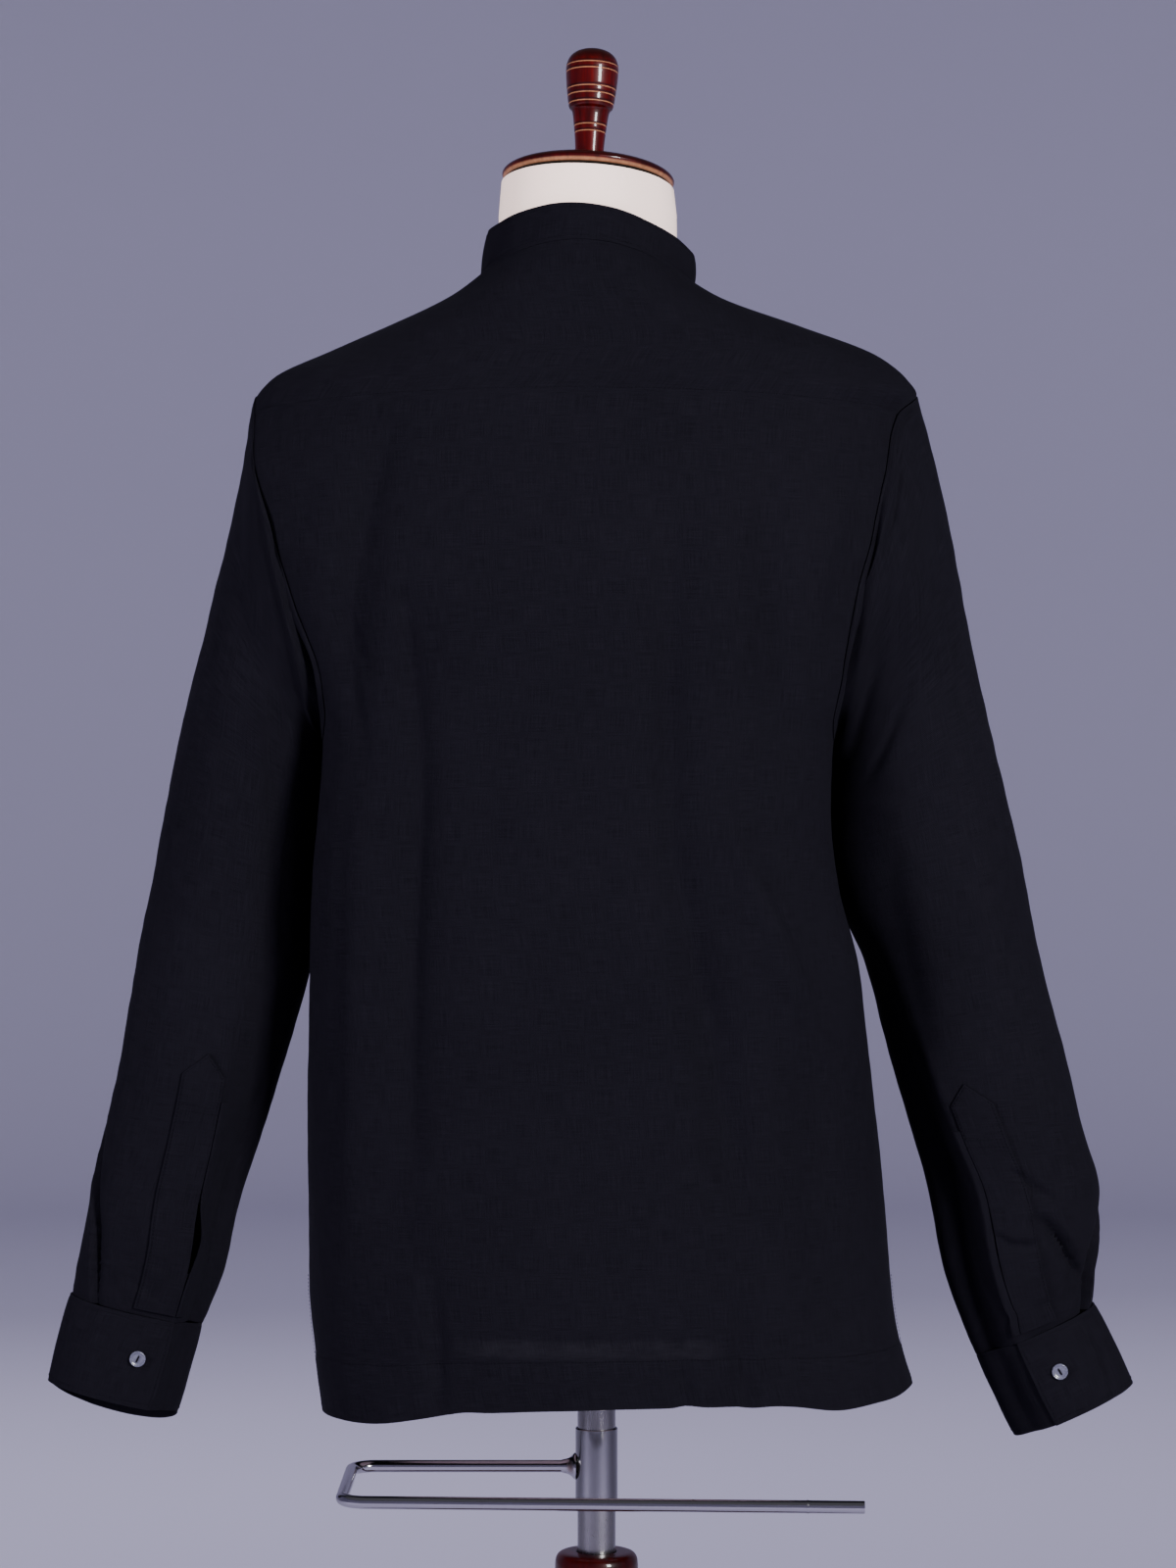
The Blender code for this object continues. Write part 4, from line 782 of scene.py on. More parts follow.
# %% Sleeve tables
Ring = namedtuple("Ring", "outer_x outer_z inner_x inner_z back front middle")
RINGS = {
    "left": table(
        Ring,
        (0.2470, 1.3420, 0.1935, 1.1335, 0.0700, 0.0690, 0.008),
        (0.2520, 1.3070, 0.1922, 1.1330, 0.0670, 0.0680, 0.000),
        (0.2605, 1.2700, 0.1912, 1.1280, 0.0645, 0.0665, -0.008),
        (0.2696, 1.2380, 0.1908, 1.1200, 0.0630, 0.0655, -0.014),
        (0.2806, 1.1938, 0.1908, 1.1080, 0.0620, 0.0645, -0.018),
        (0.2937, 1.1435, 0.1930, 1.0850, 0.0610, 0.0630, -0.021),
        (0.3048, 1.0883, 0.1945, 1.0500, 0.0590, 0.0610, -0.023),
        (0.3135, 1.0400, 0.1975, 1.0080, 0.0565, 0.0590, -0.022),
        (0.3220, 0.9958, 0.2030, 0.9680, 0.0535, 0.0560, -0.019),
        (0.3310, 0.9413, 0.2165, 0.9200, 0.0500, 0.0530, -0.016),
        (0.3390, 0.8930, 0.2290, 0.8770, 0.0465, 0.0490, -0.013),
        (0.3470, 0.8571, 0.2395, 0.8440, 0.0440, 0.0465, -0.012),
        (0.3560, 0.8160, 0.2530, 0.8030, 0.0405, 0.0430, -0.012),
        (0.3635, 0.7780, 0.2615, 0.7620, 0.0360, 0.0385, -0.012),
        (0.3709, 0.7400, 0.2780, 0.7185, 0.0300, 0.0315, -0.012),
    ),
    "right": table(
        Ring,
        (0.2335, 1.3420, 0.1672, 1.1335, 0.0690, 0.0690, 0.008),
        (0.2420, 1.3090, 0.1664, 1.1330, 0.0665, 0.0680, 0.000),
        (0.2500, 1.2740, 0.1655, 1.1280, 0.0645, 0.0665, -0.008),
        (0.2580, 1.2350, 0.1645, 1.1200, 0.0630, 0.0655, -0.014),
        (0.2668, 1.1932, 0.1665, 1.1080, 0.0620, 0.0645, -0.018),
        (0.2790, 1.1400, 0.1640, 1.0850, 0.0610, 0.0630, -0.021),
        (0.2900, 1.0950, 0.1635, 1.0550, 0.0590, 0.0610, -0.023),
        (0.3000, 1.0500, 0.1710, 1.0200, 0.0570, 0.0595, -0.022),
        (0.3107, 0.9937, 0.1900, 0.9740, 0.0540, 0.0565, -0.019),
        (0.3231, 0.9399, 0.2025, 0.9250, 0.0505, 0.0535, -0.016),
        (0.3328, 0.9047, 0.2105, 0.8950, 0.0480, 0.0505, -0.013),
        (0.3440, 0.8560, 0.2225, 0.8540, 0.0450, 0.0470, -0.012),
        (0.3555, 0.8100, 0.2345, 0.8130, 0.0410, 0.0435, -0.012),
        (0.3530, 0.7680, 0.2455, 0.7580, 0.0360, 0.0385, -0.012),
        (0.3508, 0.7330, 0.2675, 0.6970, 0.0300, 0.0315, -0.012),
    ),
}
CUFF_END = {
    "left": Ring(0.3869, 0.6791, 0.2958, 0.6570, 0.0315, 0.0330, -0.013),
    "right": Ring(0.3783, 0.6770, 0.2948, 0.6391, 0.0315, 0.0330, -0.013),
}
CUFF_EDGE = {"left": math.radians(125), "right": math.radians(109)}
CUFF_BUTTON_TURN = {"left": math.radians(103), "right": math.radians(88)}
PLACKET_TIP_RUN = {"left": 0.690, "right": 0.745}
PLACKET_MIDDLE_TOP = {"left": math.radians(97), "right": math.radians(106)}
PLACKET_MIDDLE_LOW = {"left": math.radians(107), "right": math.radians(88)}
SLEEVE_PLACKET_HALF = 0.0142
SEAM_STEP = 0.0005
SLEEVE_SQUARE = 2.1        # 2 would be a true oval
UNROLL = (0.058, 0.66)     # metres for one radian of turn and for the whole run
print("sleeve rings", len(RINGS["left"]), len(RINGS["right"]))

# %% Sleeve creases
def around(*rows):
    """Creases whose paths are given as degrees of turn and run."""
    return [Crease([(math.radians(turn), run) for turn, run in path], *rest)
            for path, *rest in rows]


SLEEVE_CREASES = {
    "left": around(
        (((2, 0.790), (16, 0.850), (36, 0.910), (60, 1.02)), 0.0030, -0.0068, 0.0032),
        (((75, 0.020), (109, 0.077), (142, 0.125), (165, 0.200)), 0.0095, -0.0085),
        (((55, 0.015), (82, 0.080), (112, 0.118), (150, 0.215)), 0.0090, 0.0026),
        (((20, 0.120), (48, 0.200), (78, 0.300)), 0.0150, -0.0024),
        (((8, 0.370), (74, 0.393), (122, 0.400)), 0.0110, -0.0014),
        (((62, 0.190), (68, 0.388), (71, 0.530), (78, 0.665)), 0.0140, 0.0020),
        (((100, 0.180), (112, 0.350), (124, 0.560), (124, 0.740)), 0.0120, -0.0030),
        (((40, 0.520), (44, 0.680), (52, 0.820)), 0.0120, -0.0018),
        (((74, 0.963), (93, 0.970), (112, 0.984)), 0.0026, -0.0011, 0.0004),
        (((80, 0.940), (96, 0.948), (108, 0.950)), 0.0030, 0.0008),
        (((130, 0.860), (138, 0.930), (142, 0.990)), 0.0050, -0.0016),
        (((150, 0.640), (156, 0.780), (160, 0.900)), 0.0070, -0.0022, 0.0008),
        (((-20, 0.080), (-55, 0.160), (-90, 0.280)), 0.0100, -0.0030),
        (((-75, 0.030), (-118, 0.110), (-150, 0.230)), 0.0080, -0.0030),
        (((-70, 0.300), (-78, 0.480), (-72, 0.660)), 0.0150, 0.0026),
        (((-30, 0.420), (-60, 0.450), (-84, 0.440)), 0.0100, -0.0018),
        (((-60, 0.820), (-70, 0.900), (-76, 1.010)), 0.0024, -0.0026, 0.0014),
        (((-120, 0.700), (-128, 0.860), (-130, 0.980)), 0.0070, -0.0020),
        (((104, 0.640), (113, 0.700), (117, 0.800), (122, 0.900), (127, 1.000), (130, 1.120)),
         0.0100, 0.0034, 0.0, True),
        (((142, 0.620), (146, 0.760), (152, 0.900), (156, 1.120)), 0.0150, -0.0085),
    ),
    "right": around(
        (((70, 0.020), (104, 0.070), (138, 0.120), (162, 0.210)), 0.0095, -0.0085),
        (((-6, 0.868), (10, 0.905), (28, 0.943), (39, 1.02)), 0.0034, -0.0085, 0.0036),
        (((93, 0.832), (80, 0.855), (64, 0.872)), 0.0030, -0.0030, 0.0014),
        (((84, 0.882), (73, 0.893), (58, 0.915), (37, 0.962)), 0.0044, -0.0078, 0.0034),
        (((112, 0.898), (98, 0.910), (86, 0.912), (74, 0.905)), 0.0032, -0.0026, 0.0012),
        (((70, 0.915), (60, 0.940), (52, 0.962)), 0.0060, 0.0022),
        (((92, 0.975), (70, 0.972), (50, 0.982)), 0.0026, -0.0012),
        (((46, 0.050), (53, 0.080), (68, 0.092), (86, 0.088)), 0.0050, -0.0024),
        (((66, 0.130), (76, 0.212), (80, 0.320)), 0.0110, 0.0024),
        (((40, 0.140), (46, 0.260), (54, 0.380)), 0.0150, -0.0022),
        (((84, 0.290), (107, 0.352), (126, 0.396)), 0.0060, -0.0026, 0.0008),
        (((98, 0.140), (122, 0.240), (142, 0.340)), 0.0100, -0.0030),
        (((42, 0.352), (56, 0.500), (67, 0.630), (74, 0.730)), 0.0140, 0.0020),
        (((70, 0.796), (49, 0.790), (22, 0.784)), 0.0022, -0.0009),
        (((140, 0.800), (128, 0.902), (122, 0.970)), 0.0070, -0.0022, -0.0010),
        (((110, 0.480), (124, 0.600), (130, 0.720)), 0.0120, -0.0026),
        (((-24, 0.070), (-60, 0.170), (-96, 0.300)), 0.0100, -0.0032),
        (((-80, 0.040), (-120, 0.130), (-152, 0.240)), 0.0080, -0.0030),
        (((-66, 0.320), (-76, 0.500), (-70, 0.700)), 0.0150, 0.0026),
        (((-28, 0.460), (-58, 0.440), (-86, 0.465)), 0.0100, -0.0018),
        (((-58, 0.830), (-66, 0.920), (-80, 1.010)), 0.0024, -0.0028, 0.0014),
        (((-118, 0.720), (-126, 0.860), (-128, 0.980)), 0.0070, -0.0022),
        (((132, 0.600), (124, 0.745), (116, 0.850), (112, 0.930), (109, 1.000), (107, 1.120)),
         0.0110, 0.0048, 0.0, True),
        (((160, 0.560), (154, 0.760), (146, 0.900), (142, 1.120)), 0.0190, -0.0115),
    ),
}

# %% Points on a sleeve
def arm_loop(side, turn):
    """The armhole seam: turn 0 is the shoulder tip, 90 degrees the back."""
    reach = np.where(np.sin(turn) > 0, BACK_REACH, FRONT_REACH)
    angle = reach * np.sin(turn)
    level = ARM_MIDDLE + ARM_HALF * np.cos(turn)
    angle = angle if side == "left" else math.pi - angle
    return body_point(angle, level), body_normal(angle, level)


def oval(side, columns, turn):
    """Points of a sleeve's or a cuff's oval from its named sizes."""
    cosine, sine = rounded(np.cos(turn), SLEEVE_SQUARE), rounded(np.sin(turn), SLEEVE_SQUARE)
    to_outer, to_inner = (1 + cosine) / 2, (1 - cosine) / 2
    sign = 1.0 if side == "left" else -1.0
    x = sign * (columns["outer_x"] * to_outer + columns["inner_x"] * to_inner)
    y = columns["middle"] + np.where(sine > 0, columns["back"], columns["front"]) * sine
    z = columns["outer_z"] * to_outer + columns["inner_z"] * to_inner
    return np.stack(np.broadcast_arrays(x, y, z), axis=-1)


def both_ways(turn):
    """A turn as it is counted from -90 to 270 degrees, and one whole turn less."""
    u = np.mod(turn + math.pi / 2, 2 * math.pi) - math.pi / 2
    return u, u - 2 * math.pi


def lift_around(turn, place, creases, unroll):
    """How far creases move a tube's cloth that is unrolled by these amounts."""
    return sum(crease_lift(u * unroll[0], place * unroll[1], creases, unroll) for u in both_ways(turn))


def sleeve_plain(side, turn, run):
    """The sleeve without its creases."""
    rings = RINGS[side]
    places = np.linspace(0.0, 1.0, len(rings) + 1)
    columns = read(rings, places[1:], run, Ring._fields)
    plain = oval(side, columns, turn)
    loop, proud = arm_loop(side, turn)
    leave = smooth_step(run / places[3])[..., None]
    first = loop + proud * SEAM_STEP + (plain - oval(side, rings[0]._asdict(), turn)) * (1 - leave)
    return first * (1 - leave) + plain * leave


def sleeve_shape(side, turn, run):
    """A grid of points on the sleeve, with the normals of that grid."""
    turn, run = spread(turn, run)
    step_round, step_down = math.radians(0.8), 0.002
    lower, upper = np.minimum(run + step_down, 1.0), np.maximum(run - step_down, 0.0)
    points = sleeve_plain(side, turn, run)
    round_way = sleeve_plain(side, turn + step_round, run) - sleeve_plain(side, turn - step_round, run)
    down_way = sleeve_plain(side, turn, lower) - sleeve_plain(side, turn, upper)
    normal = unit(np.cross(round_way, down_way)) * (1.0 if side == "right" else -1.0)
    lift = lift_around(turn, run, SLEEVE_CREASES[side], UNROLL)
    seed = 21 if side == "left" else 35
    calm = smooth_step(run / 0.05) * smooth_step((1 - run) / 0.02)
    lift = lift + calm * (0.0008 * ripple(points[..., 0], points[..., 2], 0.07, seed)
                          + 0.0003 * ripple(points[..., 0] + points[..., 1], points[..., 2], 0.024, seed + 1))
    return points + normal * lift[..., None], normal


print("left sleeve halfway down", sleeve_plain("left", 0.0, 0.5).round(4))

# %% Where a sleeve is slit, and the sleeves themselves
PLACKET_END = 0.992
PLACKET_SHOULDER = 0.022
BINDING_WIDTH = 0.0065
SLIT_GAPE = {"left": 0.0058, "right": 0.0006}


def placket_line(side, run):
    """Middle line of the placket and the radians of turn for a metre across it."""
    tip = PLACKET_TIP_RUN[side]
    along = np.clip((run - tip) / (1 - tip), 0.0, 1.0)
    middle = PLACKET_MIDDLE_TOP[side] + along * (PLACKET_MIDDLE_LOW[side] - PLACKET_MIDDLE_TOP[side])
    here, beside = sleeve_plain(side, middle, run), sleeve_plain(side, middle + 0.01, run)
    return middle, 0.01 / np.linalg.norm(beside - here, axis=-1)


def slit_gape(side, run):
    """How far the slit beside a placket stands open, in metres."""
    return SLIT_GAPE[side] * np.exp(-((run - 0.905) / 0.032) ** 2)


def slit_cells(side, turn, run):
    """Which cells of a sleeve's grid are kept, when those in the open slit are left out."""
    middle_run = (run[1:] + run[:-1]) / 2
    middle_turn = turn + math.pi / turn.shape[1]
    line, per_metre = placket_line(side, middle_run)
    offset = (middle_turn - line) / per_metre
    gape = slit_gape(side, middle_run)
    inside = (offset > SLEEVE_PLACKET_HALF - 0.005) & (offset < SLEEVE_PLACKET_HALF + gape + 0.0015)
    return ~(inside & (gape > 0.0012))


SLEEVE_COLUMNS = 128
SLEEVE_ROWS = 245
for side in ("left", "right"):
    turn = np.arange(SLEEVE_COLUMNS)[None, :] * 2 * math.pi / SLEEVE_COLUMNS
    upper, lower = np.linspace(0.0, 0.16, 61)[:-1], np.linspace(0.16, 1.0, SLEEVE_ROWS - 60)
    run = np.concatenate((upper, lower))[:, None]
    face, normal = sleeve_shape(side, turn, run)
    seam = np.exp(-(run * UNROLL[1] / 0.0035) ** 2) + np.exp(-((1 - run) * UNROLL[1] / 0.004) ** 2)
    face = face - normal * (0.0006 * seam)[..., None]
    face[0] -= unit(face[1] - face[0]) * 0.0008
    face[-1] += unit(face[-2] - face[-1]) * 0.0003
    cloth_shell(f"sleeve_{side}_cloth", face, normal, wraps=True, kept=slit_cells(side, turn, run))

# %% [markdown]
# ## Cuffs
# A cuff is a stiff double strip that laps over at the back and buttons there. The strip
# starts at the end on top and is wound a little inwards, so its other end lies under it.

# %% Cuffs
CUFF_OVERLAP = math.radians(34)
CUFF_ROWS = 34
CUFF_COLUMNS = 221
CUFF_FRONT_DROP = {"left": 0.018, "right": 0.002}
CUFF_UNROLL = (0.040, 0.060)   # metres for one radian of turn and for the whole drop
CUFF_CREASES = {
    "left": around(
        (((78, 0.97), (86, 0.72), (101, 0.52)), 0.0016, -0.0010, 0.0005),
        (((70, 0.10), (60, 0.60), (52, 1.10)), 0.0060, 0.0009),
        (((153, -0.3), (151, 0.60), (150, 1.30)), 0.0105, -0.0052),
        (((128, -0.3), (125, 0.60), (122, 1.30)), 0.0070, 0.0020, 0.0, True),
        (((-60, -0.1), (-50, 0.5), (-58, 1.15)), 0.0060, -0.0010),
        (((-110, 0.2), (-118, 0.8)), 0.0050, 0.0008),
    ),
    "right": around(
        (((42, 0.12), (47, 0.60), (52, 1.05)), 0.0026, -0.0019, 0.0006),
        (((34, 0.05), (36, 0.50), (38, 0.95)), 0.0034, 0.0012),
        (((80, 0.02), (96, 0.35)), 0.0030, -0.0006),
        (((142, -0.3), (144, 1.30)), 0.0130, -0.0066),
        (((111, -0.3), (109, 0.50), (107, 1.30)), 0.0070, 0.0022, 0.0, True),
        (((-75, -0.1), (-62, 0.5), (-70, 1.15)), 0.0060, -0.0010),
    ),
}


def cuff_plain(side, turn, drop):
    """The cuff's middle face: drop 0 at its seam, 1 at its lower edge."""
    turn, drop = spread(turn, drop)
    top, low = RINGS[side][-1], CUFF_END[side]
    columns = {name: getattr(top, name) + (getattr(low, name) - getattr(top, name)) * drop
               for name in Ring._fields}
    points = oval(side, columns, turn)
    outer, inner = (oval(side, columns, np.full_like(turn, place)) for place in (0.0, math.pi))
    middle = (outer + inner) / 2
    points[..., 2] += CUFF_FRONT_DROP[side] * drop * np.minimum(np.sin(turn), 0.0)
    return points, unit(points - middle)


def cuff_face(side, turn, drop, lift=0.0):
    """The cuff's outer face, wound inwards from its top end to its under end."""
    turn, drop = spread(turn, drop)
    points, out = cuff_plain(side, turn, drop)
    done = (CUFF_EDGE[side] - turn) / (2 * math.pi + CUFF_OVERLAP)
    wound = 0.0011 - (DOUBLE_WALL + LAYER_GAP) * smooth_step((done - 0.25) / 0.6)
    crease = lift_around(turn, drop, CUFF_CREASES[side], CUFF_UNROLL)
    rim = np.minimum(drop, 1 - drop) * CUFF_UNROLL[1]
    soft = 0.0003 * smooth_step((rim - 0.0022) / 0.002) + 0.0003 * ripple(turn * 0.04, drop * 0.06, 0.022, 51)
    swell = 0.0007 * np.sin(math.pi * np.clip(drop, 0, 1))
    return points + out * (wound + crease + soft + swell + lift)[..., None], out


for side in ("left", "right"):
    turn = np.linspace(CUFF_EDGE[side], CUFF_EDGE[side] - 2 * math.pi - CUFF_OVERLAP, CUFF_COLUMNS)[None, :]
    drop = np.linspace(0.0, 1.0, CUFF_ROWS)[:, None]
    face, out = cuff_face(side, turn, drop)
    cloth_shell(f"cuff_{side}_cloth", face, out, thick=DOUBLE_WALL)

# %% [markdown]
# ## Sleeve plackets
# So that a hand can pass, the sleeve is slit above the cuff. A strip with a pointed top
# covers one edge of the slit, and a narrow binding covers the other. Both are drawn on the
# sleeve's own surface, so they follow its creases.

# %% Pointed plackets and bindings
def on_placket(side, offset, run, lift):
    """Points at an offset in metres from the placket's middle line."""
    offset, run = spread(offset, run)
    middle, per_metre = placket_line(side, run)
    face, normal = sleeve_shape(side, middle + offset * per_metre, run)
    return face + normal * np.asarray(lift)[..., None], normal


for side in ("left", "right"):
    tip = PLACKET_TIP_RUN[side]
    share = np.linspace(0.0, 1.0, 120)[:, None] ** 1.25
    run = tip + (PLACKET_END - tip) * share
    narrow = np.clip((run - tip) / PLACKET_SHOULDER, 0.03, 1.0)
    across = np.linspace(-1.0, 1.0, 23)[None, :]
    crown = 0.0004 * smooth_step((1 - np.abs(across)) * SLEEVE_PLACKET_HALF * narrow / 0.0025)
    face, normal = on_placket(side, across * SLEEVE_PLACKET_HALF * narrow, run, 0.0019 + crown)
    cloth_shell(f"sleeve_placket_{side}_cloth", face, normal)
    run = np.linspace(tip + 2.2 * PLACKET_SHOULDER, PLACKET_END, 90)[:, None]
    near = SLEEVE_PLACKET_HALF + 0.0006 + slit_gape(side, run)
    across = np.linspace(0.0, 1.0, 9)[None, :] * BINDING_WIDTH
    face, normal = on_placket(side, near + across, run, 0.0018)
    cloth_shell(f"under_placket_{side}_cloth", face, normal)

# %% [markdown]
# ## Stitches
# A seam shows as a row of short thread dashes with even gaps. That is a rule, so Geometry
# Nodes make it: a path becomes a curve, the curve is cut into equal steps, and a small
# stretched bead is set at each step along the path's direction. One tree serves every row.

# %% The stitch tree
STITCH_PITCH = 0.0025
STITCH_LENGTH = 0.0018
THREAD_RADIUS = 0.00018


class Graph:
    """A Geometry Nodes tree with named inputs."""

    def __init__(self, name):
        self.tree = bpy.data.node_groups.new(name, "GeometryNodeTree")
        self.tree.interface.new_socket(name="Geometry", in_out="INPUT", socket_type="NodeSocketGeometry")
        self.tree.interface.new_socket(name="Geometry", in_out="OUTPUT", socket_type="NodeSocketGeometry")
        self.inputs = self.tree.nodes.new("NodeGroupInput")
        self.outputs = self.tree.nodes.new("NodeGroupOutput")
        self.identifiers = {}

    def size(self, name, kind="NodeSocketFloat"):
        made = self.tree.interface.new_socket(name=name, in_out="INPUT", socket_type=kind)
        self.identifiers[name] = made.identifier
        return self.inputs.outputs[name]

    def node(self, kind, settings=None, **values):
        made = self.tree.nodes.new(kind)
        for key, value in (settings or {}).items():
            setattr(made, key, value)
        for key, value in values.items():
            socket = made.inputs[key.replace("_", " ")]
            if isinstance(value, bpy.types.NodeSocket):
                self.tree.links.new(value, socket)
            else:
                socket.default_value = value
        return made

    def close(self, geometry, material):
        real = self.node("GeometryNodeRealizeInstances", Geometry=geometry)
        painted = self.node("GeometryNodeSetMaterial", Geometry=real.outputs["Geometry"], Material=material)
        self.tree.links.new(painted.outputs["Geometry"], self.outputs.inputs["Geometry"])

    def run(self, base, **values):
        """Grow the tree on a base object and keep the result as a plain mesh."""
        modifier = base.modifiers.new("grow", "NODES")
        modifier.node_group = self.tree
        for name, value in values.items():
            modifier[self.identifiers[name.replace("_", " ")]] = value
        ready = base.evaluated_get(bpy.context.evaluated_depsgraph_get())
        mesh = bpy.data.meshes.new_from_object(ready)
        base.modifiers.clear()
        base.data = mesh
        return base


def stitch_graph():
    graph = Graph("stitch_row")
    pitch, length = graph.size("Pitch"), graph.size("Length")
    radius, seed = graph.size("Radius"), graph.size("Seed", "NodeSocketInt")
    curve = graph.node("GeometryNodeMeshToCurve", Mesh=graph.inputs.outputs["Geometry"])
    cut = graph.node("GeometryNodeResampleCurve", {"mode": "LENGTH"}, Curve=curve.outputs["Curve"],
                     Length=pitch)
    bead = graph.node("GeometryNodeMeshUVSphere", Segments=6, Rings=4, Radius=1.0)
    smooth = graph.node("GeometryNodeSetShadeSmooth", Geometry=bead.outputs["Mesh"])
    half = graph.node("ShaderNodeMath", {"operation": "MULTIPLY"})
    graph.tree.links.new(length, half.inputs[0])
    half.inputs[1].default_value = 0.5
    uneven = graph.node("FunctionNodeRandomValue", {"data_type": "FLOAT"}, Seed=seed)
    uneven.inputs[2].default_value, uneven.inputs[3].default_value = 0.85, 1.12
    long = graph.node("ShaderNodeMath", {"operation": "MULTIPLY"})
    graph.tree.links.new(half.outputs[0], long.inputs[0])
    graph.tree.links.new(uneven.outputs[1], long.inputs[1])
    shape = graph.node("ShaderNodeCombineXYZ", X=long.outputs[0], Y=radius, Z=radius)
    way = graph.node("GeometryNodeInputTangent")
    turn = graph.node("FunctionNodeAlignRotationToVector", {"axis": "X"}, Vector=way.outputs["Tangent"])
    rows = graph.node("GeometryNodeInstanceOnPoints", Points=cut.outputs["Curve"],
                      Instance=smooth.outputs["Geometry"], Rotation=turn.outputs["Rotation"],
                      Scale=shape.outputs["Vector"])
    graph.close(rows.outputs["Instances"], thread_black)
    return graph


def path_object(name, paths):
    """Open polylines as one mesh of edges."""
    verts, edges = [], []
    for path in paths:
        first = len(verts)
        verts.extend(map(tuple, np.asarray(path, dtype=float)))
        edges.extend((first + step, first + step + 1) for step in range(len(path) - 1))
    mesh = bpy.data.meshes.new(name)
    mesh.from_pydata(verts, edges, [])
    return add(name, mesh)


print("stitches", STITCH_LENGTH, "long, one every", STITCH_PITCH)

# %% Where the rows of stitches run
FINE = 0.00012             # how far the thread's middle stands off the cloth
PLACKET_INSET = 0.002      # from the front placket's edge to its stitches
YOKE_ROW_ABOVE = 0.0032    # from the yoke seam up to its stitches
SLIT_ROW_AWAY = 0.035      # from a side slit's edge to its stitches, in radians
CUFF_ROWS_AT = (0.045, 0.94)


def on_body(angle, level, lift):
    angle, level = spread(angle, level)
    return body_point(angle, level) + body_normal(angle, level) * (lift + FINE)


def on_collar(turn, rise):
    face, _ = collar_face(turn, rise, FINE)
    return face


rows = []
# yoke seam
seam_start = BACK_REACH * math.sin(YOKE_TURN)
back_way = np.linspace(seam_start + 0.03, math.pi - seam_start - 0.03, 120)
rows.append(on_body(back_way, YOKE_LEVEL + YOKE_ROW_ABOVE, 0.0))
# hem
hem_gap = arm_angle(HEM_STITCH_LEVEL, BACK_REACH) + math.radians(2.0)
around = np.linspace(hem_gap, math.pi - hem_gap, 200)
rows.append(on_body(around, HEM_STITCH_LEVEL, 0.0005))
rows.append(on_body(-around, HEM_STITCH_LEVEL, 0.0005))
# side slits
for side_angle, inward in ((0.0, 1.0), (math.pi, -1.0)):
    for face in (1.0, -1.0):
        level = np.linspace(HEM_LEVEL + 0.004, SLIT_LEVEL, 40)
        slit = SLIT_OPENING * smooth_step((SLIT_LEVEL - level) / (SLIT_LEVEL - HEM_LEVEL))
        rows.append(on_body(side_angle + face * inward * (slit + SLIT_ROW_AWAY), level, 0.0007))
# collar
whole = np.linspace(start + 0.05, end - 0.05, 240)
rows.append(on_collar(whole, 0.085))
rows.append(on_collar(whole, 0.90))
# front placket
for edge in (-0.5, 0.5):
    x = FRONT_LINE + edge * (PLACKET_WIDTH - 2 * PLACKET_INSET)
    level = np.linspace(PLACKET_FOOT + PLACKET_INSET, NECK_LEVEL - 0.003, 90)
    rows.append(on_body(front_angle(x, level), level, PLACKET_PROUD + 0.0002))
for level in (PLACKET_FOOT + PLACKET_INSET, PLACKET_FOOT + 0.022):
    x = FRONT_LINE + np.linspace(-0.5, 0.5, 12) * (PLACKET_WIDTH - 2 * PLACKET_INSET)
    rows.append(on_body(front_angle(x, level), level, PLACKET_PROUD + 0.0002))
# cuffs, sleeve plackets and armholes
for side in ("left", "right"):
    turn = CUFF_EDGE[side] - np.linspace(0.05, 2 * math.pi + CUFF_OVERLAP - 0.08, 170)
    for drop in CUFF_ROWS_AT:
        rows.append(cuff_face(side, turn, drop, FINE)[0])
    drop = np.linspace(*CUFF_ROWS_AT, 30)
    rows.append(cuff_face(side, CUFF_EDGE[side] - 0.05, drop, FINE)[0])
    tip = PLACKET_TIP_RUN[side]
    half = SLEEVE_PLACKET_HALF - 0.0016
    run = np.linspace(tip + PLACKET_SHOULDER, PLACKET_END - 0.004, 60)
    bar_run = tip + PLACKET_SHOULDER * 2.6
    high = 0.0024 + FINE
    rows.append(on_placket(side, -half, run, high)[0])
    rows.append(on_placket(side, half, run[run < bar_run], high)[0])
    point = np.array((tip + PLACKET_SHOULDER, tip + 0.003, tip + PLACKET_SHOULDER))
    rows.append(on_placket(side, np.array((-half, 0.0, half)), point, high)[0])
    for level in (bar_run, bar_run + 0.008):
        rows.append(on_placket(side, np.linspace(-half, half, 12), level, high)[0])
    arm = np.linspace(0.25, 2 * math.pi - 0.25, 160)
    face, normal = sleeve_shape(side, arm, np.full_like(arm, 0.0065))
    rows.append(face + normal * (FINE - 0.0003))
stitches = stitch_graph().run(path_object("seam_stitches", rows), Pitch=STITCH_PITCH,
                              Length=STITCH_LENGTH, Radius=THREAD_RADIUS, Seed=7)
print("stitch faces", len(stitches.data.polygons), "rows", len(rows))

# %% [markdown]
# ## Turned pieces
# Buttons, the neck cap, the finial, the pole and the wooden stand are all round, so each is
# a profile spun round an axis. Cutting a profile's corners a few times rounds them as a
# lathe and sandpaper would. Height along the axis is kept as a coordinate, so painted lines
# follow the piece even where it leans.

# %% The lathe
def soften(profile, keep=0.25):
    """Cut each corner of a profile twice, at a share of the way to its neighbours."""
    points = [np.array(point, dtype=float) for point in profile]
    for _ in range(2):
        cut = [points[0]]
        for before, here, after in zip(points, points[1:], points[2:]):
            cut.append(here + (before - here) * keep)
            cut.append(here + (after - here) * keep)
        points = cut + [points[-1]]
    return [tuple(point) for point in points]


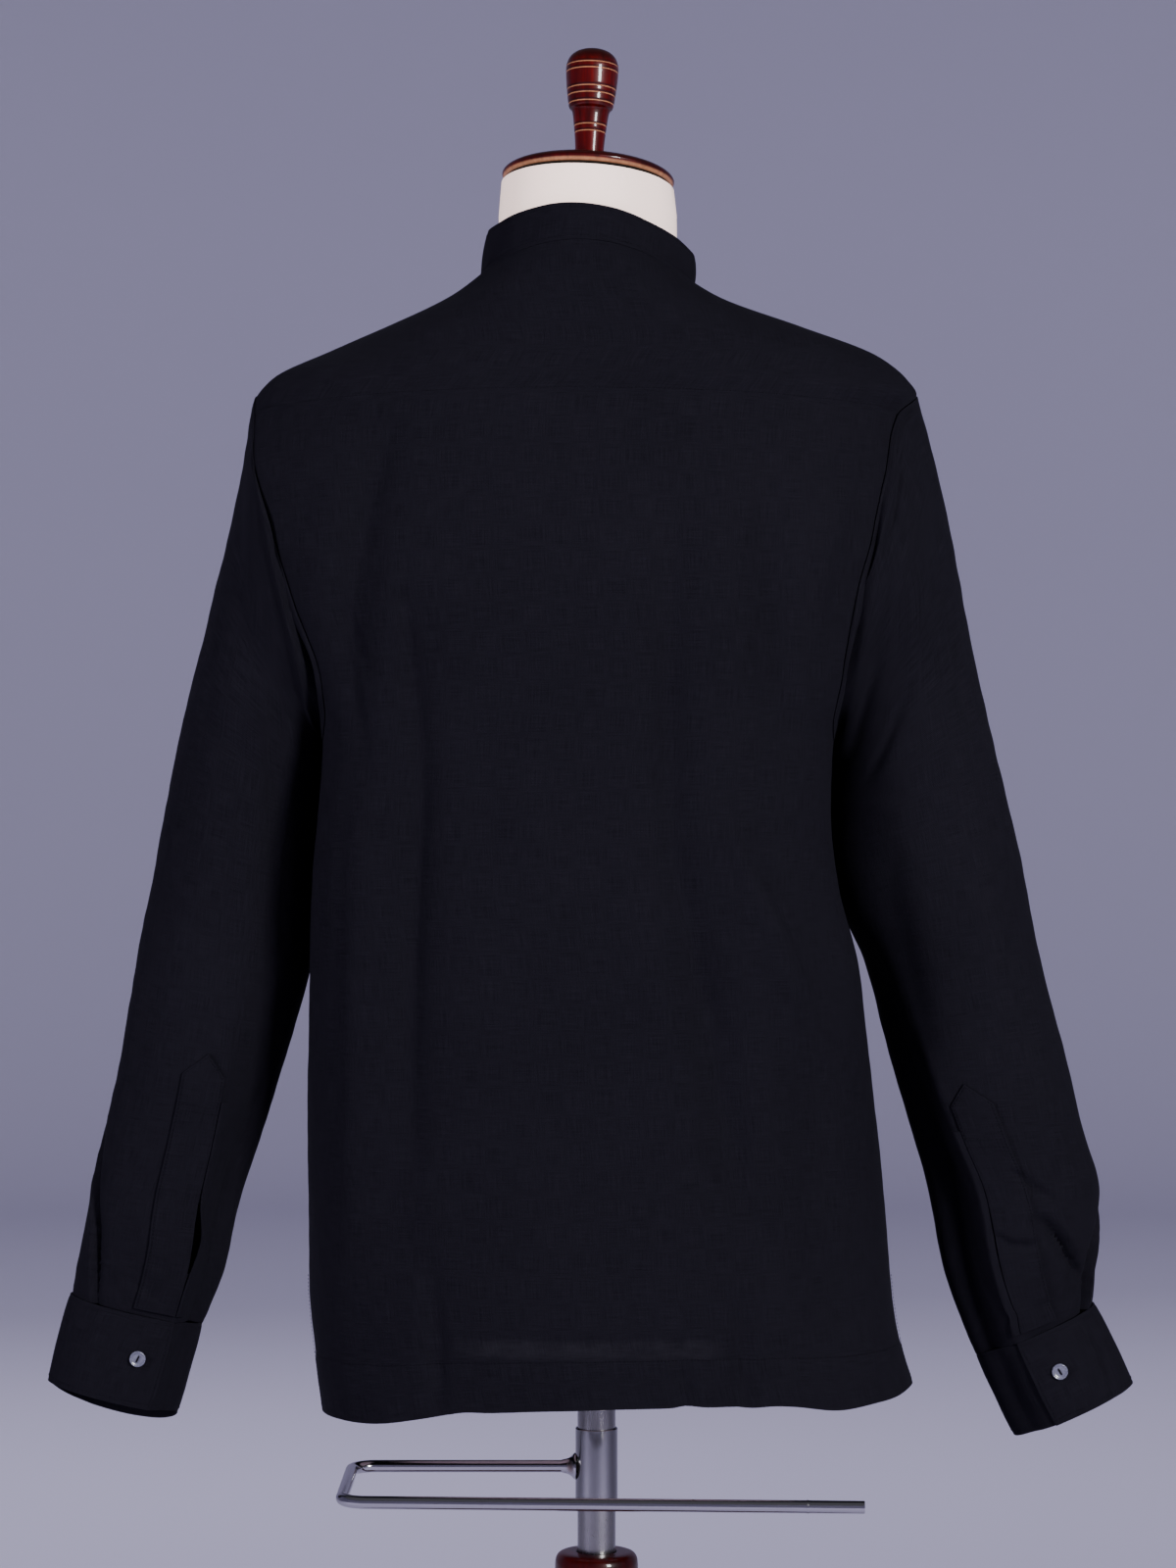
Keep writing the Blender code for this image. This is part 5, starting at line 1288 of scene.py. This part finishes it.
def turned(name, profile, finish, segments=72, place=None, closed=False):
    """Spin a profile of radius and height; a closed one is a ring clear of the axis."""
    profile = list(profile)
    spans = len(profile) if closed else len(profile) - 1
    verts, uvs, faces = [], [], []
    first = []
    for radius, height in profile:
        first.append(len(verts))
        count = 1 if radius == 0.0 else segments
        for step in range(count):
            angle = 2 * math.pi * step / segments
            verts.append((radius * math.cos(angle), radius * math.sin(angle), height))
    for row in range(spans):
        after_row = (row + 1) % len(profile)
        low_count = 1 if profile[row][0] == 0.0 else segments
        high_count = 1 if profile[after_row][0] == 0.0 else segments
        for step in range(segments):
            after = (step + 1) % segments
            a, b = first[row] + step % low_count, first[row] + after % low_count
            c, d = first[after_row] + after % high_count, first[after_row] + step % high_count
            corners = [a]
            for corner in (b, c, d):
                if corner not in corners:
                    corners.append(corner)
            if len(corners) > 2:
                faces.append(tuple(corners))
                here, there = step / segments, (step + 1) / segments
                low, high = profile[row][1], profile[after_row][1]
                place_of = {a: (here, low), b: (there, low), c: (there, high), d: (here, high)}
                uvs.extend(place_of[corner] for corner in corners)
    mesh = bpy.data.meshes.new(name)
    mesh.from_pydata(verts, [], faces)
    layer = mesh.uv_layers.new(name="lathe")
    layer.data.foreach_set("uv", np.array(uvs).reshape(-1))
    if place is not None:
        mesh.transform(place)
    return settle(name, mesh, finish, 38)


print("corners of a square profile after two cuts", len(soften(((0, 0), (1, 0), (1, 1), (0, 1)))))


# %% [markdown]
# ## Lacquered mahogany
# The wood is dark and red under thick clear lacquer. Its grain is noise drawn out along the
# lathe's axis. The finial has bare lines cut through the colour, each with a band of painted
# shade just above it, and its dome gets darker towards the top. On the cap, a painted
# highlight in the colour of bare wood lies on the lower bevel, its top is darkened as painted
# shade, and its inset foot gets painted shade. All of these are masks on the height.

# %% Hard finishes
DARK_WOOD = (0.0100, 0.0004, 0.0004, 1.0)
RED_WOOD = (0.0900, 0.0014, 0.0008, 1.0)
STAND_RED = (0.0360, 0.0010, 0.0006, 1.0)
# bare wood's tan, used for the finial's bare lines and for the cap's painted highlight
BARE_WOOD_AND_HIGHLIGHT = (0.300, 0.130, 0.065, 1.0)
SHADE = (0.004, 0.003, 0.002, 1.0)


def mahogany(name, lines=(), highlight_below=None, dark_above=None, recess=None, red=RED_WOOD):
    finish = Finish(name, Roughness=0.35, Coat_Weight=0.35, Coat_Roughness=0.04, Specular_IOR_Level=0.1)
    round_way, height, _ = finish.split(finish.node("ShaderNodeUVMap", {"uv_map": "lathe"}, {}))
    grain = finish.noise(finish.stretch(finish.place(), (260.0, 260.0, 14.0)), 1.0, 5.0, 0.65)
    pores = finish.noise(finish.stretch(finish.place(), (1500.0, 1500.0, 60.0)), 1.0, 2.0)
    cloudy = finish.noise(finish.place(), 22.0, 3.0, 0.6)
    tone = (grain * 0.8 + cloudy * 0.6 - 0.45 + pores * 0.12).between(0.05, 0.75)
    # Darker towards the top: on the cap this is painted shade on its upper side
    if dark_above:
        tone = tone * (1 - height.between(*dark_above) * 0.85)
    colour = finish.mix(tone, DARK_WOOD, red)
    # patchiness from the grain, for the worn bare lines and for the cap's painted highlight
    wear_and_highlight_grain = grain.between(0.25, 0.75) * 0.35 + 0.60
    for middle, half in lines:
        line = 1 - ((height - middle).size() / half).between(0.35, 0.80)
        # a band of painted shade, in the dark wood's colour, lies just above each bare line
        shade = 1 - ((height - middle - 1.9 * half).size() / half).between(0.50, 1.40)
        colour = finish.mix(shade * 0.75, colour, DARK_WOOD)
        colour = finish.mix(line * wear_and_highlight_grain, colour, BARE_WOOD_AND_HIGHLIGHT)
    # The cap's lower bevel gets a painted highlight in the colour of bare wood
    if highlight_below:
        colour = finish.mix((1 - height.between(*highlight_below)) * wear_and_highlight_grain, colour, BARE_WOOD_AND_HIGHLIGHT)
    # Painted shade in the cap's inset foot
    if recess:
        colour = finish.mix(1 - height.between(*recess), colour, SHADE)
    return finish.surface(Base_Color=colour, Normal=finish.bump(grain, 0.0002, 0.25))


def metal(name, colour, roughness, marks, brushed, stains=()):
    finish = Finish(name, Metallic=1.0)
    along = finish.noise(finish.stretch(finish.place(), (900.0, 900.0, 9.0)), 1.0, 3.0)
    cloudy = finish.noise(finish.place(), 30.0, 4.0, 0.6)
    spots = finish.noise(finish.place(), 210.0, 3.0, 0.6).between(0.66, 0.78)
    rough = roughness + cloudy * marks + spots * marks + along * brushed
    shade = finish.mix(spots * 0.5 + cloudy * 0.25, colour, tuple(c * 0.55 for c in colour[:3]) + (1.0,))
    for place, radius, tone in stains:
        reach = finish.node("ShaderNodeVectorMath", {"operation": "DISTANCE"}, (finish.place(), place), 1)
        edge = (reach + cloudy * radius * 0.8) / radius
        patch = 1 - edge.between(0.55, 1.25)
        shade = finish.mix(patch * 0.8, shade, tone)
        rough = rough + patch * 0.35
    return finish.surface(Base_Color=shade, Roughness=rough, Normal=finish.bump(along, 0.0001, 0.08))


RUST = (0.130, 0.050, 0.022, 1.0)
GRIME = (0.030, 0.026, 0.024, 1.0)
STAINS = (((0.0170, 0.0050, 0.6200), 0.0075, RUST), ((-0.0641, 0.1330, 0.6220), 0.0022, RUST),
          ((0.1700, 0.1300, 0.6230), 0.0028, GRIME), ((-0.1410, 0.1345, 0.6185), 0.0014, GRIME))
pole_steel = metal("pole_steel", (0.26, 0.25, 0.25, 1.0), 0.16, 0.10, 0.10)
collar_chrome = metal("sleeve_chrome", (0.24, 0.235, 0.245, 1.0), 0.07, 0.10, 0.06, STAINS)
bar_chrome = metal("bar_chrome", (0.46, 0.45, 0.47, 1.0), 0.07, 0.10, 0.04, STAINS)

paint = Finish("cream_paint", Specular_IOR_Level=0.5)
chips = paint.noise(paint.place(), 160.0, 3.0, 0.6)
cream_paint = paint.surface(
    Base_Color=paint.mix(chips.between(0.60, 0.72) * 0.4, (0.78, 0.70, 0.60, 1.0), (0.45, 0.38, 0.30, 1.0)),
    Roughness=chips * 0.2 + 0.32, Normal=paint.bump(chips, 0.0002, 0.2))
print("metals and paint", [finish.name for finish in (pole_steel, collar_chrome, bar_chrome, cream_paint)])

# %% Cream form cloth and button plastic
canvas = Finish("cream_cloth", Roughness=0.85, Sheen_Weight=0.15, Sheen_Roughness=0.5)
x, y, z = canvas.split(canvas.place())
turned_x = x * 0.94 + y * 0.34
knit = (turned_x * (math.pi / 0.0007)).cosine() * (z * (math.pi / 0.0006)).cosine()
soft = canvas.noise(canvas.place(), 14.0, 4.0, 0.6)
fuzz = canvas.noise(canvas.place(), 900.0, 2.0, 0.6)
cream_cloth = canvas.surface(
    Base_Color=canvas.mix(soft * 0.7 + fuzz * 0.3, (0.98, 0.78, 0.70, 1.0), (0.92, 0.68, 0.60, 1.0)),
    Normal=canvas.bump(knit * 0.4 + fuzz, 0.0002, 0.5))

shell = Finish("button_grey", Coat_Weight=0.6, Coat_Roughness=0.08)
swirl = shell.noise(shell.stretch(shell.place(), (260.0, 260.0, 420.0)), 1.0, 4.0, 0.6)
button_grey = shell.surface(
    Base_Color=shell.mix(swirl, (0.044, 0.044, 0.070, 1.0), (0.090, 0.090, 0.130, 1.0)),
    Roughness=swirl * 0.15 + 0.20)
print("form cloth and plastic", cream_cloth.name, button_grey.name)

# %% [markdown]
# ## Buttons
# A shirt button is a small disc with a raised rim. The thread that holds it covers its two
# holes and shows as a dark dash across the middle, so the holes aren't cut. Each button lies
# flat on its cloth.

# %% Buttons and their thread
BUTTON_RADIUS = 0.0057
BUTTON_THICKNESS = 0.0026
BUTTON_LIFT = 0.0004
BUTTON_PROFILE = soften(((0.0, 0.0), (0.80, 0.0), (1.0, 0.42), (0.98, 0.95), (0.84, 1.0), (0.70, 0.74),
                         (0.30, 0.66), (0.0, 0.66)), 0.30)
THREAD_SHIFT = 0.00028     # from the middle of a button to each of its two threads
THREAD_HEIGHT = 0.80 * BUTTON_THICKNESS
THREAD_HALVES = (0.00040, 0.0028, 0.00046, 1.0)


def button(name, point, normal, spin):
    """A button, and its thread as a second piece."""
    frame_turn = Vector(normal).to_track_quat("Z", "Y").to_matrix().to_4x4()
    place = Matrix.Translation(Vector(point) + Vector(normal) * BUTTON_LIFT) @ frame_turn
    profile = [(radius * BUTTON_RADIUS, height * BUTTON_THICKNESS) for radius, height in BUTTON_PROFILE]
    disc = turned(name, profile, button_grey, 40, place)
    bead = bmesh.new()
    for shift in (-THREAD_SHIFT, THREAD_SHIFT):
        bar = bmesh.ops.create_uvsphere(bead, u_segments=10, v_segments=8, radius=1.0)
        move = (Matrix.Rotation(spin, 4, "Z") @ Matrix.Translation((shift, 0.0, THREAD_HEIGHT))
                @ Matrix.Diagonal(THREAD_HALVES))
        bmesh.ops.transform(bead, matrix=place @ move, verts=bar["verts"])
    mesh = bpy.data.meshes.new(name + "_thread")
    bead.to_mesh(mesh)
    bead.free()
    mesh.shade_smooth()
    mesh.materials.append(thread_black)
    return disc, add(name + "_thread", mesh)


CUFF_BUTTON_DROP = 0.46
CUFF_BUTTON_PROUD = 0.0019
FRONT_BUTTON_LEVELS = (1.400, 1.325, 1.250)
buttons = {}
for side, spin in (("left", -0.45), ("right", 0.55)):
    turn, drop, step = CUFF_BUTTON_TURN[side], CUFF_BUTTON_DROP, math.radians(4)
    near, _ = cuff_plain(side, np.array((turn - step, turn, turn + step)), drop)
    below, _ = cuff_plain(side, np.array((turn,)), drop + 0.1)
    normal = unit(np.cross(near[2] - near[0], below[0] - near[1]))
    normal = normal if normal[1] > 0 else -normal
    point = near[1] + normal * CUFF_BUTTON_PROUD
    buttons[f"cuff_button_{side}"] = button(f"cuff_button_{side}_disc", point, normal, spin)
for number, level in enumerate(FRONT_BUTTON_LEVELS, start=1):
    angle = front_angle(FRONT_LINE, level)
    point, normal = body_point(angle, level), body_normal(angle, level)
    point = point + normal * (PLACKET_PROUD + BUTTON_LIFT)
    buttons[f"front_button_{number}"] = button(f"front_button_{number}_disc", point, normal, 0.1 * number)
low, _ = collar_face(-math.pi / 2, 0.40)
high, _ = collar_face(-math.pi / 2, 0.60)
rise_way = unit(high - low)
forwards = np.array((0.0, -1.0, 0.0))
normal = unit(forwards - rise_way * (forwards @ rise_way))
point = (low + high) / 2 + normal * BUTTON_LIFT
buttons["collar_button"] = button("collar_button_disc", point, normal, 1.4)
print("buttons", list(buttons))

# %% [markdown]
# ## The form, its neck cap and finial
# Under the kurta stands a torso with no limbs, padded and covered in fine cream cloth. Its
# neck leans forwards a little, and a turned wooden cap with a finial closes it.

# %% Torso
FormRing = namedtuple("FormRing", "z half_width back front drop")
FORM_RINGS = table(
    FormRing,
    (0.735, 0.1360, 0.088, 0.088, 0.000),
    (0.741, 0.1420, 0.094, 0.094, 0.000),
    (0.800, 0.1520, 0.104, 0.104, 0.000),
    (0.880, 0.1480, 0.102, 0.104, 0.000),
    (0.980, 0.1380, 0.096, 0.104, 0.000),
    (1.080, 0.1430, 0.102, 0.113, 0.000),
    (1.160, 0.1500, 0.108, 0.116, 0.000),
    (1.230, 0.1560, 0.109, 0.114, 0.004),
    (1.290, 0.1640, 0.101, 0.107, 0.010),
    (1.335, 0.1780, 0.092, 0.102, 0.022),
    (1.362, 0.1860, 0.086, 0.098, 0.030),
    (1.382, 0.1780, 0.082, 0.093, 0.036),
    (1.400, 0.1600, 0.079, 0.087, 0.040),
    (1.418, 0.1220, 0.075, 0.077, 0.040),
    (1.434, 0.0840, 0.070, 0.067, 0.036),
    (1.450, 0.0655, 0.064, 0.062, 0.024),
    (1.472, 0.0630, 0.0625, 0.061, 0.008),
    (1.500, 0.0626, 0.0620, 0.061, 0.000),
)
NECK_TOP = 1.5200
NECK_TOP_RADIUS = 0.0608
NECK_NOD = math.radians(7.0)
NECK_ROLL = math.radians(3.0)
neck_frame = (Matrix.Translation((NECK_CENTRE[0], NECK_CENTRE[1], NECK_TOP))
              @ Matrix.Rotation(NECK_NOD, 4, "X") @ Matrix.Rotation(-NECK_ROLL, 4, "Y"))
FORM_COLUMNS = 112
FORM_ROWS = 110


def form_body():
    turn = np.arange(FORM_COLUMNS) * 2 * math.pi / FORM_COLUMNS
    cosine, sine = np.cos(turn), np.sin(turn)
    z_table = [ring.z for ring in FORM_RINGS]
    grid = []
    for z in np.linspace(z_table[0], z_table[-1], FORM_ROWS):
        half, back, front, drop = read(FORM_RINGS, z_table, z, FormRing._fields[1:]).values()
        neck_share = float(smooth_step((z - 1.30) / 0.15))
        square = 2.25 - 0.25 * neck_share
        x = NECK_CENTRE[0] * neck_share + half * rounded(cosine, square)
        y = np.where(sine > 0, back, front) * rounded(sine, square)
        grid.append(np.stack((x, y, z - np.where(sine > 0, 0.0, drop * sine * sine)), axis=-1))
    for inset, height in ((0.0, -0.0005), (0.0006, -0.0001), (0.003, 0.0)):
        radius = NECK_TOP_RADIUS - inset
        ring = [neck_frame @ Vector((radius * c, radius * s, height)) for c, s in zip(cosine, sine)]
        grid.append(np.array(ring))
    grid = np.array(grid)
    rows, columns = grid.shape[:2]
    faces = [(row * columns + step, row * columns + (step + 1) % columns,
              (row + 1) * columns + (step + 1) % columns, (row + 1) * columns + step)
             for row in range(rows - 1) for step in range(columns)]
    faces.append(tuple(range(columns))[::-1])
    faces.append(tuple((rows - 1) * columns + step for step in range(columns)))
    mesh = bpy.data.meshes.new("form_cover")
    mesh.from_pydata(grid.reshape(-1, 3).tolist(), [], faces)
    return settle("form_cover", mesh, cream_cloth, 50)


form_cover = form_body()
print("form faces", len(form_cover.data.polygons))

# %% Neck cap and finial
CAP_PROFILE = ((0.0, 0.0), (0.0562, 0.0), (0.0564, 0.0014), (0.0590, 0.0026), (0.0607, 0.0052),
               (0.0606, 0.0066), (0.0592, 0.0084), (0.0550, 0.0106), (0.0480, 0.0124),
               (0.0350, 0.0142), (0.0200, 0.0150), (0.0, 0.0152))
FINIAL_PROFILE = ((0.0, 0.0), (0.0096, 0.0), (0.0103, 0.0150), (0.0116, 0.0270), (0.0131, 0.0385),
                  (0.0156, 0.0395), (0.0168, 0.0470), (0.0180, 0.0570), (0.0187, 0.0670),
                  (0.0184, 0.0710), (0.0166, 0.0760), (0.0125, 0.0798), (0.0065, 0.0820), (0.0, 0.0826))
FINIAL_LINES = (0.0696, 0.0652, 0.0528, 0.0482, 0.0425, 0.0269, 0.0221)
LINE_HALF = 0.0006
FINIAL_NOD = math.radians(4.0)
FINIAL_ROLL = math.radians(2.0)
# The cap has a painted highlight on its lower bevel, and painted shade on its top and in its foot
cap_wood = mahogany("cap_mahogany", highlight_below=(0.0034, 0.0050), dark_above=(0.0036, 0.0070),
                    recess=(0.0018, 0.0027))
finial_wood = mahogany("finial_mahogany", [(line, LINE_HALF) for line in FINIAL_LINES],
                       dark_above=(0.070, 0.076))
stand_wood = mahogany("stand_mahogany", red=STAND_RED)
cap_disc = turned("cap_disc", soften(CAP_PROFILE), cap_wood, 112,
                  neck_frame @ Matrix.Translation((0, 0, 0.0004)))


def grooved(profile, lines, depth=0.0003):
    """Add a fine groove to a profile at each painted line."""
    heights = np.array([height for _, height in profile])
    radii = np.array([radius for radius, _ in profile])
    extra = []
    for line in lines:
        for offset, cut in ((-1.2, 0.0), (-0.6, 1.0), (0.6, 1.0), (1.2, 0.0)):
            height = line + offset * LINE_HALF
            extra.append((float(np.interp(height, heights, radii)) - cut * depth, height))
    kept = [point for point in profile if all(abs(point[1] - line) > 1.3 * LINE_HALF for line in lines)]
    return sorted(kept + extra, key=lambda point: (point[1], point[0] if point[1] < 0.05 else -point[0]))


finial_place = (Matrix.Translation(neck_frame @ Vector((0.0, 0.0, CAP_PROFILE[-1][1] + 0.0016)))
                @ Matrix.Rotation(FINIAL_NOD, 4, "X") @ Matrix.Rotation(-FINIAL_ROLL, 4, "Y"))
finial_knob = turned("finial_knob", grooved(soften(FINIAL_PROFILE), FINIAL_LINES), finial_wood, 80,
                     finial_place)
print("lines on the finial", len(FINIAL_LINES))

# %% [markdown]
# ## Pole, trouser bar and wooden stand
# The form's metal socket slides on a steel pole and a knob locks it. Below the hem a chrome
# collar carries a U-shaped bar for trousers. The bar is one round rod along a path with
# rounded corners, so a second node tree makes it: fillet the path, then sweep a circle.

# %% Pole, socket and knob
POLE_RADIUS = 0.0134
POLE_FOOT = 0.135
POLE_HEAD = 0.7346
GAP = 0.0004


def bevelled(radius, foot, head, bevel):
    """The outer side of a round bar or tube, from its foot to its head."""
    return ((radius - bevel, foot), (radius, foot + bevel), (radius, head - bevel), (radius - bevel, head))


pole_side = bevelled(POLE_RADIUS, POLE_FOOT, POLE_HEAD, 0.0008)
pole_tube = turned("pole_tube", ((0.0, POLE_FOOT), *pole_side, (0.0, POLE_HEAD)), pole_steel, 96)
SOCKET_RADIUS = 0.0190
SOCKET_FOOT = 0.668
FLANGE_RADIUS = 0.030
bore = POLE_RADIUS + 0.0005
socket_ring = ((bore, SOCKET_FOOT), (SOCKET_RADIUS - 0.001, SOCKET_FOOT),
               (SOCKET_RADIUS, SOCKET_FOOT + 0.001), (SOCKET_RADIUS, POLE_HEAD - 0.013),
               (SOCKET_RADIUS + 0.002, POLE_HEAD - 0.009),
               (FLANGE_RADIUS, POLE_HEAD - 0.005), (FLANGE_RADIUS, POLE_HEAD), (bore, POLE_HEAD))
socket_cast = turned("socket_cast", socket_ring, cream_paint, 72, closed=True)
KNOB_PROFILE = ((0.0, 0.0), (0.0035, 0.0), (0.0035, 0.0130), (0.0062, 0.0150), (0.0095, 0.0195),
                (0.0105, 0.0245), (0.0092, 0.0300), (0.0050, 0.0338), (0.0, 0.0345))
knob_place = Matrix.Translation((-0.004, SOCKET_RADIUS + GAP, 0.6765)) @ Matrix.Rotation(-math.pi / 2, 4, "X")
knob_turned = turned("knob_turned", soften(KNOB_PROFILE), cream_paint, 48, knob_place)
print("pole from", POLE_FOOT, "to", POLE_HEAD)

# %% Chrome collar and the U-shaped bar
SLEEVE_RADIUS = 0.0149
ROD_RADIUS = 0.0043
ROD_LEVEL = 0.6197
ROD_CORNER = 0.016
BAR_SIDE = 0.1715
BAR_NEAR = 0.131
BAR_END = -0.1790
BAR_SAG = 0.0035
COLLAR_FOOT = 0.592
COLLAR_HEAD = 0.647
bore = POLE_RADIUS + 0.0004
collar_side = bevelled(SLEEVE_RADIUS, COLLAR_FOOT, COLLAR_HEAD, 0.0005)
collar_ring = ((bore, COLLAR_FOOT), *collar_side, (bore, COLLAR_HEAD))
chrome_collar = turned("chrome_collar", collar_ring, collar_chrome, 96, closed=True)


def rod_graph():
    graph = Graph("swept_rod")
    radius, corner = graph.size("Radius"), graph.size("Corner")
    curve = graph.node("GeometryNodeMeshToCurve", Mesh=graph.inputs.outputs["Geometry"])
    bend = graph.node("GeometryNodeFilletCurve", {"mode": "POLY"}, Curve=curve.outputs["Curve"], Count=14,
                      Radius=corner, Limit_Radius=True)
    ring = graph.node("GeometryNodeCurvePrimitiveCircle", {"mode": "RADIUS"}, Resolution=32, Radius=radius)
    rod = graph.node("GeometryNodeCurveToMesh", Curve=bend.outputs["Curve"],
                     Profile_Curve=ring.outputs["Curve"], Fill_Caps=True)
    smooth = graph.node("GeometryNodeSetShadeSmooth", Geometry=rod.outputs["Mesh"])
    graph.close(smooth.outputs["Geometry"], bar_chrome)
    return graph


rod_path = ((SLEEVE_RADIUS + GAP, 0.0, ROD_LEVEL), (BAR_SIDE, 0.0, ROD_LEVEL),
            (BAR_SIDE, BAR_NEAR, ROD_LEVEL), (BAR_END, BAR_NEAR, ROD_LEVEL - BAR_SAG))
rod = rod_graph().run(path_object("trouser_rod", [rod_path]), Radius=ROD_RADIUS, Corner=ROD_CORNER)
rod.data.set_sharp_from_angle(angle=math.radians(50))
WELD_PROFILE = ((0.0, -0.0014), (0.0096, -0.0014), (0.0092, 0.0006), (0.0070, 0.0024), (0.0056, 0.0046),
                (0.0050, 0.0072), (0.0043, 0.0098), (0.0036, 0.0110), (0.0, 0.0110))
weld_place = Matrix.Translation((SLEEVE_RADIUS + GAP, 0.0, ROD_LEVEL)) @ Matrix.Rotation(math.pi / 2, 4, "Y")
weld_bead = turned("weld_bead", soften(WELD_PROFILE), bar_chrome, 48, weld_place)
JOINT_X = -0.141
joint_profile = ((ROD_RADIUS - 0.0006, -0.0006), (ROD_RADIUS + 0.0003, -0.0005),
                 (ROD_RADIUS + 0.0003, 0.0005), (ROD_RADIUS - 0.0006, 0.0006))
fall = BAR_SAG / (BAR_SIDE - BAR_END)
joint_place = (Matrix.Translation((JOINT_X, BAR_NEAR, ROD_LEVEL - fall * (BAR_SIDE - JOINT_X)))
               @ Matrix.Rotation(math.pi / 2, 4, "Y"))
joint_ring = turned("joint_ring", joint_profile, bar_chrome, 40, joint_place, closed=True)
print("rod faces", len(rod.data.polygons))

# %% Column and base
COLUMN_RADIUS = 0.0293
COLUMN_FOOT_RADIUS = 0.055
COLUMN_TOP = 0.560
BASE_RADIUS = 0.205
BASE_HEIGHT = 0.036
BORE_FLOOR = 0.070
bore, shaft, swell = POLE_RADIUS + 0.0006, COLUMN_RADIUS, COLUMN_FOOT_RADIUS
foot, head = BASE_HEIGHT + GAP, COLUMN_TOP
round_part = soften(((0.0, foot), (swell - 0.003, foot), (swell, foot + 0.006), (swell - 0.003, foot + 0.014),
                     (swell - 0.015, foot + 0.022), (shaft, foot + 0.040), (shaft, foot + 0.08),
                     (shaft, head - 0.016), (shaft, head - 0.006), (shaft - 0.002, head - 0.0015),
                     (shaft - 0.006, head), (bore + 0.0005, head)))
bore_part = [(bore, head - 0.0005), (bore, BORE_FLOOR), (0.0, BORE_FLOOR)]
column_wood = turned("column_wood", round_part + bore_part, stand_wood, 112)
edge, crown = BASE_RADIUS, BASE_HEIGHT
base_profile = soften(((0.0, 0.0), (edge - 0.003, 0.0), (edge, 0.003), (edge, 0.016), (edge - 0.004, 0.022),
                       (edge - 0.012, 0.025), (edge - 0.030, 0.031), (edge - 0.045, crown), (0.0, crown)))
base_wood = turned("base_wood", base_profile, stand_wood, 160)
print("column to", COLUMN_TOP, "base radius", BASE_RADIUS)

# %% [markdown]
# ## Studio floor
# A bowl with a flat middle. It is darker than white, so the wood and chrome keep an edge.

# %% Floor
paper = Finish("studio_paper", Roughness=0.95, Specular_IOR_Level=0.1)
grainy = paper.noise(paper.place(), 0.6, 2.0)
paper_colour = paper.mix(grainy, (0.325, 0.305, 0.440, 1.0), (0.335, 0.315, 0.450, 1.0))
studio_paper = paper.surface(Base_Color=paper_colour)
BOWL_FLAT, BOWL_BEND, BOWL_WALL = 7.0, 3.0, 9.0
bowl_profile = [(0.0, -0.0003), (BOWL_FLAT, -0.0003)]
for lean in np.linspace(0.08, math.pi / 2, 24):
    bowl_profile.append((BOWL_FLAT + BOWL_BEND * math.sin(lean), BOWL_BEND - BOWL_BEND * math.cos(lean)))
bowl_profile.append((BOWL_FLAT + BOWL_BEND, BOWL_WALL))
floor = turned("floor", bowl_profile, studio_paper, 96)
floor.data.flip_normals()
print("floor's flat middle", BOWL_FLAT)

# %% [markdown]
# ## Handing the pieces over
# Each new piece hides the imported piece it stands for and hangs from the body that carries
# it. Cloth doesn't stretch, so each cloth piece's flat size, printed as it is made, is
# measured on the piece itself.

# %% Cloth pieces
CLOTH_FOR = {
    "back_cloth": ("kurta_back", "hung"), "front_cloth": ("kurta_front", "hung"),
    "yoke_cloth": ("kurta_yoke", "draped"), "collar_cloth": ("collar", "stretched"),
    "front_placket_cloth": ("front_placket", "hung"),
}
for side in ("left", "right"):
    CLOTH_FOR[f"sleeve_{side}_cloth"] = (f"sleeve_{side}", "hung")
    CLOTH_FOR[f"cuff_{side}_cloth"] = (f"cuff_{side}", "hung")
    CLOTH_FOR[f"sleeve_placket_{side}_cloth"] = (f"sleeve_placket_{side}", "hung")
    CLOTH_FOR[f"under_placket_{side}_cloth"] = (f"under_placket_{side}", "hung")
for name, (node, held) in CLOTH_FOR.items():
    piece = pieces[name]
    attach(piece, "form")
    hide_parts(node)
    if name.startswith("under_placket"):
        continue           # a binding this narrow goes with its sleeve

print("cloth pieces", len(CLOTH_FOR))

# %% Hard pieces
HARD = (
    (form_cover, "form", "form_torso", "cream_cloth"), (cap_disc, "form", "neck_cap", "mahogany"),
    (finial_knob, "form", "finial", "mahogany"), (socket_cast, "form", "form_socket", "cream_paint"),
    (knob_turned, "form", "lock_knob", "cream_paint"), (pole_tube, "pole", "pole", "pole_steel"),
    (chrome_collar, "bar", "bar_sleeve", "bar_chrome"), (rod, "bar", "trouser_bar", "bar_chrome"),
    (column_wood, "stand", "column", "mahogany"), (base_wood, "stand", "base", "mahogany"),
)
for piece, body, node, slot in HARD:
    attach(piece, body)
    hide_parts(node)
for node, (disc, thread) in buttons.items():
    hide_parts(node)
    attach(disc, "form")
    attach(thread, "form")
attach(stitches, "form")
for piece in (weld_bead, joint_ring):
    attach(piece, "bar")
print("hard pieces", len(HARD), "buttons", len(buttons))
